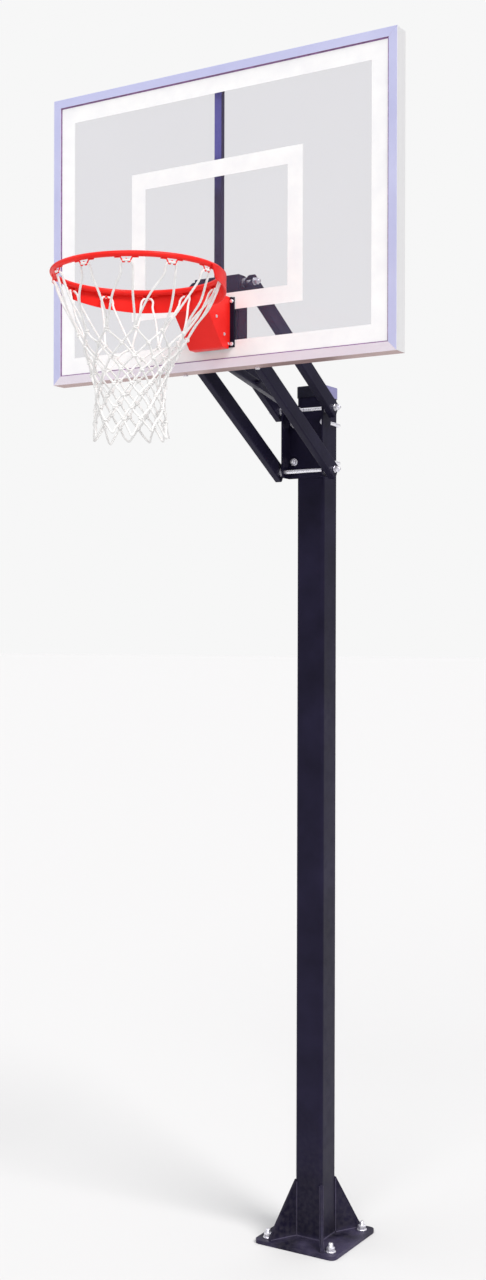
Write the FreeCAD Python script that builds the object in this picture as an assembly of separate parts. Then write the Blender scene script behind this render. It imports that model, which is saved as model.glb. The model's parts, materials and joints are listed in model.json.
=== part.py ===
import FreeCAD, Part
import math
import os

# A bolt-down basketball hoop. Millimetres, +Z up, the board faces -Y, and the
# origin is on the floor under the middle of the square pole.
os.makedirs("parts", exist_ok=True)
V = FreeCAD.Vector
X_AXIS = V(1, 0, 0)
Y_AXIS = V(0, 1, 0)
Z_AXIS = V(0, 0, 1)

# ---- driving dimensions ---------------------------------------------------
RIM_TOP = 3048.0                # standard rim height, 10 ft
RIM_INNER_RADIUS = 228.6        # standard 18 in rim
RING_ROD = 8.0                  # radius of the ring's rod
BOARD_WIDTH = 1219.2
BOARD_HEIGHT = 914.4
BOARD_BOTTOM = 2834.0
BOARD_FRONT = -655.0            # front of the frame's lip
FRAME_DEPTH = 55.0
POLE_WIDTH = 101.6
POLE_TOP = 2866.0
POLE_WALL = 3.2
PLATE_WIDTH = 304.8              # 12 in square
PLATE_CORNER = 22.0
PLATE_THICK = 12.7
PIVOT_Y = -89.0                 # both pivots on the pole bracket
LOWER_PIVOT_Z = 2579.5
PIVOT_GAP = 203.2
ARM_LENGTH = 605.0              # pivot to pivot
ARM_ANGLE = 31.0                # degrees above level at full height
HEIGHT_TRAVEL = 60.0            # degrees that the arms swing down
FIT = 0.05                      # radial clearance of a turning fit

# ---- worked out from them --------------------------------------------------
POLE_HALF = POLE_WIDTH / 2
UPPER_PIVOT_Z = LOWER_PIVOT_Z + PIVOT_GAP
ARM_REACH = ARM_LENGTH * math.cos(math.radians(ARM_ANGLE))
ARM_RISE = ARM_LENGTH * math.sin(math.radians(ARM_ANGLE))
BOARD_PIVOT_Y = PIVOT_Y - ARM_REACH
BOARD_LOWER_Z = LOWER_PIVOT_Z + ARM_RISE
BOARD_UPPER_Z = BOARD_LOWER_Z + PIVOT_GAP
BOARD_TOP = BOARD_BOTTOM + BOARD_HEIGHT
RING_RADIUS = RIM_INNER_RADIUS + RING_ROD
RING_Z = RIM_TOP - RING_ROD
RING_Y = BOARD_FRONT - 168.4 - RIM_INNER_RADIUS


# ---- shapes ------------------------------------------------------------------
def box(x0, x1, y0, y1, z0, z1):
    return Part.makeBox(x1 - x0, y1 - y0, z1 - z0, V(x0, y0, z0))


def rod_x(x0, x1, y, z, radius):
    return Part.makeCylinder(radius, x1 - x0, V(x0, y, z), X_AXIS)


def rod_y(x, y0, y1, z, radius):
    return Part.makeCylinder(radius, y1 - y0, V(x, y0, z), Y_AXIS)


def rod_z(x, y, z0, z1, radius):
    return Part.makeCylinder(radius, z1 - z0, V(x, y, z0), Z_AXIS)


def hexagon(start, axis, across_flats, height):
    """A hexagonal prism from start along axis."""
    radius = across_flats / math.sqrt(3)
    turn = FreeCAD.Rotation(Z_AXIS, axis)
    corners = []
    for step in range(7):
        angle = math.radians(60 * step + 30)
        corner = V(radius * math.cos(angle), radius * math.sin(angle), 0)
        corners.append(start + turn.multVec(corner))
    return Part.Face(Part.makePolygon(corners)).extrude(axis * height)


def rounded_box(x0, x1, y0, y1, z0, z1, radius):
    """A box with its four upright edges rounded."""
    block = box(x0, x1, y0, y1, z0, z1)
    upright = [e for e in block.Edges if abs(e.tangentAt(e.FirstParameter).z) > 0.9]
    return block.makeFillet(radius, upright)


def square_tube(width, depth, wall, radius, z0, z1):
    """A hollow section along Z, centred on the Z axis, with rounded corners."""
    outer = rounded_box(-width / 2, width / 2, -depth / 2, depth / 2, z0, z1, radius)
    bore_x = width / 2 - wall
    bore_y = depth / 2 - wall
    bore_radius = max(radius - wall, 0.4)
    bore = rounded_box(-bore_x, bore_x, -bore_y, bore_y, z0 - 1, z1 + 1, bore_radius)
    return outer.cut(bore)


def plate_from_outline(points, x0, x1):
    """A plate between x0 and x1 whose outline is given in Y and Z."""
    corners = [V(x0, y, z) for y, z in points]
    corners.append(corners[0])
    return Part.Face(Part.makePolygon(corners)).extrude(V(x1 - x0, 0, 0))


def ring_of_boxes(inset, width, y0, y1):
    """A rectangular picture frame, inset from the board's edge."""
    half = BOARD_WIDTH / 2 - inset
    low = BOARD_BOTTOM + inset
    high = BOARD_TOP - inset
    outer = box(-half, half, y0, y1, low, high)
    inner = box(-half + width, half - width, y0 - 1, y1 + 1, low + width, high - width)
    return outer.cut(inner)


def mirrored(shape):
    """The shape with its mirror image across X = 0, as two solids."""
    return Part.makeCompound([shape, shape.mirror(V(0, 0, 0), X_AXIS)])


def compound(shapes):
    return Part.makeCompound(shapes)


def cut_all(shape, tools):
    for tool in tools:
        shape = shape.cut(tool)
    return shape


def save(shape, node):
    shape.exportStep("parts/%s.step" % node)


# ---- base: plate, gussets and anchor bolts -------------------------------------
ANCHOR_X = 119.0
ANCHOR_Y = 112.0
ANCHOR_RADIUS = 8.0
ANCHORS = [(sx * ANCHOR_X, sy * ANCHOR_Y) for sx in (-1, 1) for sy in (-1, 1)]
GUSSET_THICK = 9.5
GUSSET_TOP = 201.0
GUSSET_TOE_X = 100.0
GUSSET_TOE_Y = 137.0
GUSSET_TOE_HEIGHT = 8.0
POLE_CORNER = 12.0


def base_plate():
    half = PLATE_WIDTH / 2
    plate = rounded_box(-half, half, -half, half, 0, PLATE_THICK, PLATE_CORNER)
    holes = [rod_z(x, y, -1, PLATE_THICK + 1, ANCHOR_RADIUS + 0.1) for x, y in ANCHORS]
    return cut_all(plate, holes)


def gusset():
    """One triangular web from the pole's front right corner to the plate's corner."""
    reach_x = GUSSET_TOE_X - POLE_HALF
    reach_y = GUSSET_TOE_Y - POLE_HALF
    reach = math.hypot(reach_x, reach_y)
    outline = [
        V(-12, 0, PLATE_THICK),
        V(reach, 0, PLATE_THICK),
        V(reach, 0, PLATE_THICK + GUSSET_TOE_HEIGHT),
        V(-2, 0, GUSSET_TOP),
        V(-12, 0, GUSSET_TOP),
        V(-12, 0, PLATE_THICK),
    ]
    web = Part.Face(Part.makePolygon(outline)).extrude(V(0, GUSSET_THICK, 0))
    web.translate(V(0, -GUSSET_THICK / 2, 0))
    web.rotate(V(0, 0, 0), Z_AXIS, -math.degrees(math.atan2(reach_y, reach_x)))
    web.translate(V(POLE_HALF, -POLE_HALF, 0))
    room_for_pole = rounded_box(-POLE_HALF, POLE_HALF, -POLE_HALF, POLE_HALF, 0, 400, POLE_CORNER)
    return web.cut(room_for_pole)


def base_gussets():
    front = gusset()
    pair = [front, front.mirror(V(0, 0, 0), X_AXIS)]
    return compound(pair + [web.mirror(V(0, 0, 0), Y_AXIS) for web in pair])


def anchor_parts():
    studs = []
    washers = []
    nuts = []
    for x, y in ANCHORS:
        studs.append(rod_z(x, y, 0, 42, ANCHOR_RADIUS))
        washer = rod_z(x, y, PLATE_THICK, PLATE_THICK + 3, 17)
        washers.append(washer.cut(rod_z(x, y, 0, 40, ANCHOR_RADIUS + 0.1)))
        nut = hexagon(V(x, y, PLATE_THICK + 3), Z_AXIS, 24, 13)
        nuts.append(nut.cut(rod_z(x, y, 0, 60, ANCHOR_RADIUS)))
    return compound(studs), compound(washers), compound(nuts)


# ---- pole ---------------------------------------------------------------------------
CAP_HEIGHT = 38.0
CAP_WALL = 2.8


def pole():
    return square_tube(POLE_WIDTH, POLE_WIDTH, POLE_WALL, POLE_CORNER, PLATE_THICK, POLE_TOP)


def pole_cap():
    half = POLE_HALF + 0.1 + CAP_WALL
    top = POLE_TOP + CAP_WALL
    outer = rounded_box(-half, half, -half, half, top - CAP_HEIGHT, top, POLE_CORNER + CAP_WALL)
    inner_half = POLE_HALF + 0.1
    inner = rounded_box(-inner_half, inner_half, -inner_half, inner_half, 0, POLE_TOP, POLE_CORNER)
    rim_edges = [e for e in outer.Edges if e.BoundBox.ZMin > top - 0.1]
    return outer.makeFillet(2.0, rim_edges).cut(inner)


# ---- brackets: a channel with two ears, on the pole and on the board -------------------
EAR_OUTER = 78.7
EAR_THICK = 4.8
EAR_INNER = EAR_OUTER - EAR_THICK
EAR_CORNER = 15.0
ROD_RADIUS = 6.35
BRACKET_MARGIN = 20.5
POLE_WEB_FRONT = -POLE_HALF - EAR_THICK
POLE_EAR_FRONT = -107.0
U_BOLT_HEIGHTS = (2615.0, 2743.0)
U_BOLT_X = 57.15
U_BOLT_ROD = 6.0
BOARD_WEB_FRONT = -638.0
BOARD_WEB_BACK = BOARD_WEB_FRONT + EAR_THICK
BOARD_EAR_BACK = -589.0
FOOT_THICK = 4.0
RAIL_WALL = 3.0
FOOT_BOTTOM = BOARD_BOTTOM + RAIL_WALL
FOOT_TOP = FOOT_BOTTOM + FOOT_THICK
BOARD_BRACKET_TOP = BOARD_UPPER_Z + BRACKET_MARGIN
RIM_BOLT_X = 66.0
RIM_BOLT_RADIUS = 4.0
RIM_BOLT_HEIGHTS = (2903.0, 3031.0)
RIM_BOLTS = [(sx * RIM_BOLT_X, z) for sx in (-1, 1) for z in RIM_BOLT_HEIGHTS]


def channel(web_y0, web_y1, ear_y, z0, z1):
    """Web between web_y0 and web_y1, with ears that reach to ear_y."""
    web = box(-EAR_OUTER, EAR_OUTER, web_y0, web_y1, z0, z1)
    ears = []
    for side in (-1, 1):
        x0 = min(side * EAR_OUTER, side * EAR_INNER)
        ear = box(x0, x0 + EAR_THICK, min(web_y0, ear_y), max(web_y1, ear_y), z0, z1)
        free = [e for e in ear.Edges if abs(e.BoundBox.YMin - ear_y) < 0.1 and e.BoundBox.YLength < 0.1]
        along_x = [e for e in free if e.BoundBox.XLength > 1]
        ears.append(ear.makeFillet(EAR_CORNER, along_x))
    return web.fuse(ears).removeSplitter()


def pole_bracket():
    low = LOWER_PIVOT_Z - BRACKET_MARGIN
    high = UPPER_PIVOT_Z + BRACKET_MARGIN
    body = channel(POLE_WEB_FRONT, -POLE_HALF, POLE_EAR_FRONT, low, high)
    holes = []
    for z in (LOWER_PIVOT_Z, UPPER_PIVOT_Z):
        holes.append(rod_x(-100, 100, PIVOT_Y, z, ROD_RADIUS + FIT))
    for z in U_BOLT_HEIGHTS:
        for side in (-1, 1):
            holes.append(rod_y(side * U_BOLT_X, -70, -40, z, U_BOLT_ROD + 0.3))
    return cut_all(body, holes)


def board_bracket():
    body = channel(BOARD_WEB_FRONT, BOARD_WEB_BACK, BOARD_EAR_BACK, FOOT_TOP, BOARD_BRACKET_TOP)
    holes = []
    for z in (BOARD_LOWER_Z, BOARD_UPPER_Z):
        holes.append(rod_x(-100, 100, BOARD_PIVOT_Y, z, ROD_RADIUS + FIT))
    for x, z in RIM_BOLTS:
        holes.append(rod_y(x, -645, -630, z, RIM_BOLT_RADIUS + 0.2))
    for z in STILE_RIVET_HEIGHTS:
        holes.append(rod_y(0, -645, -630, z, STILE_RIVET))
    return cut_all(body, holes)


def u_bolt(z):
    """A square-bend U-bolt round the pole, open to the front."""
    front = -73.0
    back = POLE_HALF + 0.4 + U_BOLT_ROD
    bend = 14.0
    corner = bend * (1 - math.sqrt(0.5))
    left = -U_BOLT_X
    right = U_BOLT_X
    path = Part.Wire([
        Part.makeLine(V(left, front, z), V(left, back - bend, z)),
        Part.Arc(V(left, back - bend, z), V(left + corner, back - corner, z), V(left + bend, back, z)).toShape(),
        Part.makeLine(V(left + bend, back, z), V(right - bend, back, z)),
        Part.Arc(V(right - bend, back, z), V(right - corner, back - corner, z), V(right, back - bend, z)).toShape(),
        Part.makeLine(V(right, back - bend, z), V(right, front, z)),
    ])
    section = Part.Wire([Part.makeCircle(U_BOLT_ROD, V(left, front, z), Y_AXIS)])
    return path.makePipeShell([section], True, True)


def u_bolt_parts():
    bolts = []
    washers = []
    nuts = []
    for z in U_BOLT_HEIGHTS:
        bolts.append(u_bolt(z))
        for side in (-1, 1):
            x = side * U_BOLT_X
            shank = rod_y(x, -90, -40, z, U_BOLT_ROD + 0.05)
            washers.append(rod_y(x, POLE_WEB_FRONT - 2.5, POLE_WEB_FRONT, z, 13).cut(shank))
            nuts.append(hexagon(V(x, POLE_WEB_FRONT - 2.5, z), -Y_AXIS, 19, 10).cut(shank))
    return compound(bolts), compound(washers), compound(nuts)


# ---- pivot rods, one set for each bracket -----------------------------------------------
ARM_WIDTH = 25.4
ARM_DEPTH = 50.8
ARM_WALL = 2.5
ARM_INNER_X = 88.9
ARM_MIDDLE_X = ARM_INNER_X + ARM_WIDTH / 2
ARM_OUTER_X = ARM_INNER_X + ARM_WIDTH
SIDE_PLAY = 0.1
END_WASHER = 2.5
END_WASHER_RADIUS = 11.5
END_NUT = 11.0
ROD_STANDS_OUT = 7.0
SPACER_RADIUS = 14.0


def pivot_parts(y, heights):
    """Rods, spacers, end washers and end nuts of the pivots at these heights."""
    rods = []
    spacers = []
    washers = []
    nuts = []
    washer_x = ARM_OUTER_X + SIDE_PLAY
    nut_x = washer_x + END_WASHER
    rod_end = nut_x + END_NUT + ROD_STANDS_OUT
    for z in heights:
        rods.append(rod_x(-rod_end, rod_end, y, z, ROD_RADIUS))
        room = rod_x(-200, 200, y, z, ROD_RADIUS + 0.03)
        for side in (-1, 1):
            x0 = EAR_OUTER if side > 0 else -ARM_INNER_X + SIDE_PLAY
            spacer = rod_x(x0, x0 + ARM_INNER_X - SIDE_PLAY - EAR_OUTER, y, z, SPACER_RADIUS)
            spacers.append(spacer.cut(room))
            x0 = washer_x if side > 0 else -washer_x - END_WASHER
            washers.append(rod_x(x0, x0 + END_WASHER, y, z, END_WASHER_RADIUS).cut(room))
            nuts.append(hexagon(V(side * nut_x, y, z), X_AXIS * side, 19, END_NUT).cut(room))
    return compound(rods), compound(spacers), compound(washers), compound(nuts)


# ---- arms -----------------------------------------------------------------------------------
ARM_OVERHANG = 20.0
ARM_END_SLOPE = 16.0             # how much shorter the upper wall is at the board's end
OPEN_PIVOT_PLAY = 0.6


def arm(side, pole_z, board_hole):
    """A 2 x 1 in tube with a pivot hole near each open end, placed at full height."""
    tube = square_tube(ARM_WIDTH, ARM_DEPTH, ARM_WALL, 4.0, -ARM_OVERHANG, ARM_LENGTH + ARM_OVERHANG)
    tube = tube.cut(rod_x(-50, 50, 0, 0, ROD_RADIUS + FIT))
    tube = tube.cut(rod_x(-50, 50, 0, ARM_LENGTH, board_hole))
    end = ARM_LENGTH + ARM_OVERHANG
    half = ARM_DEPTH / 2
    slope = [(-half, end), (half, end - ARM_END_SLOPE), (half + 5, end + 5), (-half, end + 5)]
    tube = tube.cut(plate_from_outline(slope, -ARM_WIDTH, ARM_WIDTH))
    tube.rotate(V(0, 0, 0), X_AXIS, 90 - ARM_ANGLE)
    tube.translate(V(side * ARM_MIDDLE_X, PIVOT_Y, pole_z))
    return tube


# ---- telescoping strut from the pole's upper rod to the board's lower rod ---------------------
STRUT_X = -36.0
STRUT_RISE = ARM_RISE - PIVOT_GAP
STRUT_LENGTH = math.hypot(ARM_REACH, STRUT_RISE)
STRUT_ANGLE = math.degrees(math.atan2(STRUT_RISE, ARM_REACH))
STRUT_OUTER = 25.4
STRUT_OUTER_WALL = 2.0
STRUT_INNER = STRUT_OUTER - 2 * STRUT_OUTER_WALL - 0.2
STRUT_INNER_WALL = 2.2
STRUT_COLLAR_RADIUS = 11.0
STRUT_END_GAP = 1.5
STRUT_MOUTH = STRUT_LENGTH - 275.0
STRUT_TAIL = STRUT_LENGTH - STRUT_COLLAR_RADIUS - STRUT_END_GAP
STRUT_INNER_END = STRUT_TAIL - 14.0
CLAMP_AT = STRUT_MOUTH + 22.0
CLAMP_RADIUS = 4.0
LOW_REACH = ARM_LENGTH * math.cos(math.radians(ARM_ANGLE - HEIGHT_TRAVEL))
LOW_RISE = ARM_LENGTH * math.sin(math.radians(ARM_ANGLE - HEIGHT_TRAVEL)) - PIVOT_GAP
STRUT_TRAVEL = math.hypot(LOW_REACH, LOW_RISE) - STRUT_LENGTH + 0.2
EYE_RADIUS = 12.0


def along_strut(shape):
    """Moves a shape drawn along +Z from the origin onto the strut's line."""
    shape.rotate(V(0, 0, 0), X_AXIS, 90 - STRUT_ANGLE)
    shape.translate(V(STRUT_X, PIVOT_Y, UPPER_PIVOT_Z))
    return shape


def strut_inner():
    tube = square_tube(STRUT_INNER, STRUT_INNER, STRUT_INNER_WALL, 3.0, 8, STRUT_INNER_END)
    eye = rod_x(-STRUT_INNER / 2, STRUT_INNER / 2, 0, 0, EYE_RADIUS)
    body = tube.fuse(eye)
    half = CLAMP_RADIUS + 0.4
    slot_end = CLAMP_AT + STRUT_TRAVEL
    slot = box(-30, 30, -half, half, CLAMP_AT, slot_end)
    slot = slot.fuse([rod_x(-30, 30, 0, CLAMP_AT, half), rod_x(-30, 30, 0, slot_end, half)])
    return along_strut(cut_all(body, [slot, rod_x(-50, 50, 0, 0, ROD_RADIUS + FIT)]))


def strut_outer():
    tube = square_tube(STRUT_OUTER, STRUT_OUTER, STRUT_OUTER_WALL, 3.4, STRUT_MOUTH, STRUT_TAIL)
    return along_strut(tube.cut(rod_x(-30, 30, 0, CLAMP_AT, CLAMP_RADIUS + 0.05)))


def strut_clamp():
    """Clamp bolt through the outer tube and the inner tube's slot, and its nut."""
    side = STRUT_OUTER / 2
    head = hexagon(V(-side, 0, CLAMP_AT), -X_AXIS, 13, 5.5)
    shank = rod_x(-side, side + 13, 0, CLAMP_AT, CLAMP_RADIUS)
    nut = hexagon(V(side + 1.5, 0, CLAMP_AT), X_AXIS, 13, 7)
    washer = rod_x(side, side + 1.5, 0, CLAMP_AT, 8.5)
    hole = rod_x(side - 1, side + 20, 0, CLAMP_AT, CLAMP_RADIUS)
    return along_strut(head.fuse(shank)), along_strut(nut.fuse(washer).cut(hole))


def strut_eye_spacers():
    """Sleeves on the pole's upper rod that hold the strut's eye off centre."""
    eye_left = STRUT_X - STRUT_INNER / 2 - SIDE_PLAY
    eye_right = STRUT_X + STRUT_INNER / 2 + SIDE_PLAY
    room = rod_x(-100, 100, PIVOT_Y, UPPER_PIVOT_Z, ROD_RADIUS + 0.03)
    left = rod_x(-EAR_INNER, eye_left, PIVOT_Y, UPPER_PIVOT_Z, 10).cut(room)
    right = rod_x(eye_right, eye_right + 8, PIVOT_Y, UPPER_PIVOT_Z, 10).cut(room)
    return compound([left, right])


def strut_collar():
    """Collar on the board's lower rod that the strut's outer tube pushes on."""
    x0 = STRUT_X - STRUT_OUTER / 2
    collar = rod_x(x0, x0 + STRUT_OUTER, BOARD_PIVOT_Y, BOARD_LOWER_Z, STRUT_COLLAR_RADIUS)
    return collar.cut(rod_x(-100, 100, BOARD_PIVOT_Y, BOARD_LOWER_Z, ROD_RADIUS + 0.03))


# ---- backboard ---------------------------------------------------------------------------------
LIP = 27.0
GASKET_SHOWS = 3.0
FRONT_LIP_WALL = 2.5
FRONT_LIP_BACK = BOARD_FRONT + FRONT_LIP_WALL
BACK_LIP_FRONT = FRONT_LIP_BACK + 12.0
BACK_LIP_BACK = BACK_LIP_FRONT + 2.5
FRAME_BACK = BOARD_FRONT + FRAME_DEPTH
PANEL_FRONT = FRONT_LIP_BACK + 2.0
PANEL_BACK = PANEL_FRONT + 8.0
PRINT_THICK = 0.3
BORDER_WIDTH = 51.0
SQUARE_WIDTH = 609.6
SQUARE_HEIGHT = 457.2
SQUARE_BOTTOM = 3008.0
MITRE = 80.0
FOOT_SCREW_X = 129.0
FOOT_SCREW_Y = -611.0
FOOT_HALF = 148.0
STILE_WIDTH = 25.4
STILE_DEPTH = 19.0
STILE_BOTTOM = 3050.0
STILE_RIVET = 3.0
STILE_RIVET_HEIGHTS = (3064.0, 3106.0)


def frame_rails():
    """The aluminium frame as four mitred rails: bottom, top, left and right."""
    skin = ring_of_boxes(0, RAIL_WALL, BOARD_FRONT, FRAME_BACK)
    front_lip = ring_of_boxes(0, LIP, BOARD_FRONT, FRONT_LIP_BACK)
    back_lip = ring_of_boxes(0, LIP, BACK_LIP_FRONT, BACK_LIP_BACK)
    frame = skin.fuse([front_lip, back_lip])
    half = BOARD_WIDTH / 2
    middle = (BOARD_BOTTOM + BOARD_TOP) / 2
    centre = V(0, BOARD_FRONT - 1, middle)
    corners = {
        "bottom": [V(-half, 0, BOARD_BOTTOM), V(half, 0, BOARD_BOTTOM), 1, 1],
        "top": [V(-half, 0, BOARD_TOP), V(half, 0, BOARD_TOP), 1, -1],
        "left": [V(-half, 0, BOARD_BOTTOM), V(-half, 0, BOARD_TOP), 0, 1],
        "right": [V(half, 0, BOARD_BOTTOM), V(half, 0, BOARD_TOP), 0, -1],
    }
    rails = {}
    for name, (first, last, level, inward) in corners.items():
        step = V(0, 0, inward * MITRE) if level else V(inward * MITRE, 0, 0)
        along = (last - first).normalize() * MITRE
        outline = [first, last, last + step - along, first + step + along, first]
        outline = [V(p.x, centre.y, p.z) for p in outline]
        wedge = Part.Face(Part.makePolygon(outline)).extrude(V(0, FRAME_DEPTH + 2, 0))
        rails[name] = frame.common(wedge).removeSplitter()
    screws = [rod_z(s * FOOT_SCREW_X, FOOT_SCREW_Y, BOARD_BOTTOM - 1, FOOT_TOP, 4.1) for s in (-1, 1)]
    rails["bottom"] = cut_all(rails["bottom"], screws)
    return rails


def corner_keys():
    """Flat L-shaped keys behind the four mitres."""
    arm_length = 90.0
    width = 18.0
    inset = RAIL_WALL + 0.2
    keys = []
    for sx in (-1, 1):
        for low in (True, False):
            x = sx * (BOARD_WIDTH / 2 - inset)
            z = BOARD_BOTTOM + inset if low else BOARD_TOP - inset
            dz = 1 if low else -1
            level = box(min(x, x - sx * arm_length), max(x, x - sx * arm_length),
                        BACK_LIP_BACK, BACK_LIP_BACK + 3, min(z, z + dz * width), max(z, z + dz * width))
            upright = box(min(x, x - sx * width), max(x, x - sx * width),
                          BACK_LIP_BACK, BACK_LIP_BACK + 3,
                          min(z, z + dz * arm_length), max(z, z + dz * arm_length))
            keys.append(level.fuse(upright).removeSplitter())
    return compound(keys)


def bolt_holes(y0, y1, radius):
    return [rod_y(x, y0, y1, z, radius) for x, z in RIM_BOLTS]


def panel():
    half = BOARD_WIDTH / 2 - RAIL_WALL - 2
    low = BOARD_BOTTOM + RAIL_WALL + 2
    high = BOARD_TOP - RAIL_WALL - 2
    sheet = box(-half, half, PANEL_FRONT, PANEL_BACK, low, high)
    return cut_all(sheet, bolt_holes(PANEL_FRONT - 1, PANEL_BACK + 1, RIM_BOLT_RADIUS + 0.4))


def gasket():
    strip = ring_of_boxes(RAIL_WALL, LIP + GASKET_SHOWS - RAIL_WALL, FRONT_LIP_BACK, BACK_LIP_FRONT)
    half = BOARD_WIDTH / 2 - RAIL_WALL - 2
    low = BOARD_BOTTOM + RAIL_WALL + 2
    high = BOARD_TOP - RAIL_WALL - 2
    return strip.cut(box(-half, half, PANEL_FRONT, PANEL_BACK, low, high))


def rim_plate_room():
    """Room in the prints for the rim's base plate, which is bolted straight on the panel."""
    edge = 0.3
    return box(-BASE_HALF - edge, BASE_HALF + edge, PANEL_FRONT - 2, PANEL_BACK, BASE_BOTTOM - edge, BASE_TOP + edge)


def printed_border():
    inset = LIP + GASKET_SHOWS + 0.5
    border = ring_of_boxes(inset, BORDER_WIDTH, PANEL_FRONT - PRINT_THICK, PANEL_FRONT)
    return border.cut(rim_plate_room())


def shooter_square():
    half = SQUARE_WIDTH / 2
    y0 = PANEL_FRONT - PRINT_THICK
    top = SQUARE_BOTTOM + SQUARE_HEIGHT
    outer = box(-half, half, y0, PANEL_FRONT, SQUARE_BOTTOM, top)
    inner = box(-half + BORDER_WIDTH, half - BORDER_WIDTH, y0 - 1, PANEL_FRONT + 1,
                SQUARE_BOTTOM + BORDER_WIDTH, top - BORDER_WIDTH)
    return outer.cut(inner).cut(rim_plate_room())


def mounting_pad():
    pad = box(-BASE_HALF, BASE_HALF, PANEL_BACK, BOARD_WEB_FRONT, BASE_BOTTOM, BASE_TOP)
    return cut_all(pad, bolt_holes(PANEL_BACK, BOARD_WEB_FRONT + 1, RIM_BOLT_RADIUS + 0.2))


def bracket_foot():
    foot = box(-FOOT_HALF, FOOT_HALF, BOARD_WEB_FRONT + 0.2, FRAME_BACK, FOOT_BOTTOM, FOOT_TOP)
    upright = [e for e in foot.Edges if abs(e.tangentAt(e.FirstParameter).z) > 0.9]
    foot = foot.makeFillet(6, upright)
    return cut_all(foot, [rod_z(s * FOOT_SCREW_X, FOOT_SCREW_Y, 2800, 2900, 4.1) for s in (-1, 1)])


def foot_screws():
    screws = []
    for side in (-1, 1):
        x = side * FOOT_SCREW_X
        head = hexagon(V(x, FOOT_SCREW_Y, BOARD_BOTTOM - 5), Z_AXIS, 13, 5)
        shank = rod_z(x, FOOT_SCREW_Y, BOARD_BOTTOM - 2, FOOT_TOP + 10, 4)
        nut = hexagon(V(x, FOOT_SCREW_Y, FOOT_TOP), Z_AXIS, 13, 6.5)
        screws.append(head.fuse([shank, nut]).removeSplitter())
    return compound(screws)


def centre_stile():
    tube = square_tube(STILE_WIDTH, STILE_DEPTH, 1.6, 2.0, STILE_BOTTOM, BOARD_TOP - RAIL_WALL)
    tube.translate(V(0, BOARD_WEB_BACK + STILE_DEPTH / 2, 0))
    return cut_all(tube, [rod_y(0, -645, -600, z, STILE_RIVET) for z in STILE_RIVET_HEIGHTS])


def stile_rivets():
    rivets = []
    for z in STILE_RIVET_HEIGHTS:
        shank = rod_y(0, BOARD_WEB_FRONT, BOARD_WEB_BACK + 1.6, z, STILE_RIVET)
        head = rod_y(0, BOARD_WEB_FRONT - 2, BOARD_WEB_FRONT, z, 5.5)
        tail = rod_y(0, BOARD_WEB_BACK + 1.6, BOARD_WEB_BACK + 3.5, z, 4.5)
        rivets.append(shank.fuse([head, tail]).removeSplitter())
    return compound(rivets)


# ---- rim: base plate, hinge, springs, housing, ring, brace, net -----------------------------------
BASE_HALF = 72.5
BASE_BOTTOM = 2894.0
BASE_TOP = 3044.0
BASE_THICK = 6.0
BASE_FRONT = PANEL_FRONT - BASE_THICK
HINGE_Y = BASE_FRONT - 7.5
HINGE_Z = 2904.0
HINGE_RADIUS = 4.0
HINGE_EYE = 7.2
SIDE_OUTER = 59.3
SIDE_THICK = 3.0
SIDE_INNER = SIDE_OUTER - SIDE_THICK
LUG_OUTER = SIDE_INNER - 0.3
LUG_THICK = 5.0
HOUSING_BACK = BASE_FRONT - 0.5
HOUSING_FRONT = -697.0           # lower front edge, before it is rolled round
HOUSING_BOTTOM = 2888.0
HOUSING_BEND = 13.0
COVER_TOP_Y = -808.0
COVER_TOP_Z = 3017.0
COVER_THICK = 2.5
COVER_RETURN = HINGE_Y           # back end of the cover's turned-in bottom
TOP_PLATE_Z = 3040.0
TOP_PLATE_THICK = 4.0
BRACE_INNER = RING_RADIUS + RING_ROD + 0.2
BRACE_THICK = 4.0
BRACE_OUTER = BRACE_INNER + BRACE_THICK
BRACE_BOTTOM = 2982.0
BRACE_END_BOTTOM = 3004.0
SPRING_X = 26.0
SPRING_Z = 2990.0
SPRING_ROD = 4.0
SPRING_RADIUS = 10.5
SPRING_WIRE = 2.0
SPRING_SEAT_BACK = HOUSING_BACK - 7.5
SPRING_SEAT_THICK = 4.0
SPRING_SEAT_FRONT = SPRING_SEAT_BACK - SPRING_SEAT_THICK
SPRING_STOP = SPRING_SEAT_FRONT - 68.0
CLIP_COUNT = 12
CLIP_WIRE = 1.9
CLIP_LENGTH = 62.0
CLIP_TURN = -2.0
NET_WALL = 6.0
NET_LEAN_X = -17.0
NET_LEAN_Y = -10.0
NET_LEAN_TOP = 3000.0
NET_LEAN_DROP = 240.0
NET_OUTLINE = [(230, 3010), (221, 2972), (196, 2926), (166, 2885), (138, 2852), (118, 2815),
               (106, 2781), (101, 2745), (100, 2663), (104, 2610), (110, 2572)]


def rim_base_plate():
    plate = box(-BASE_HALF, BASE_HALF, BASE_FRONT, PANEL_FRONT, BASE_BOTTOM, BASE_TOP)
    depth_edges = [e for e in plate.Edges if e.BoundBox.YLength > 1]
    plate = plate.makeFillet(8, depth_edges)
    lugs = []
    for side in (-1, 1):
        x0 = min(side * LUG_OUTER, side * (LUG_OUTER - LUG_THICK))
        block = box(x0, x0 + LUG_THICK, HINGE_Y, BASE_FRONT, HINGE_Z - HINGE_EYE, HINGE_Z + HINGE_EYE)
        lugs.append(block.fuse(rod_x(x0, x0 + LUG_THICK, HINGE_Y, HINGE_Z, HINGE_EYE)))
    body = plate.fuse(lugs).removeSplitter()
    holes = bolt_holes(BASE_FRONT - 1, PANEL_FRONT + 1, RIM_BOLT_RADIUS + 0.2)
    holes.append(rod_x(-80, 80, HINGE_Y, HINGE_Z, HINGE_RADIUS + FIT))
    for side in (-1, 1):
        holes.append(rod_y(side * SPRING_X, BASE_FRONT - 1, PANEL_FRONT + 1, SPRING_Z, SPRING_ROD))
    return cut_all(body, holes)


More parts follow.
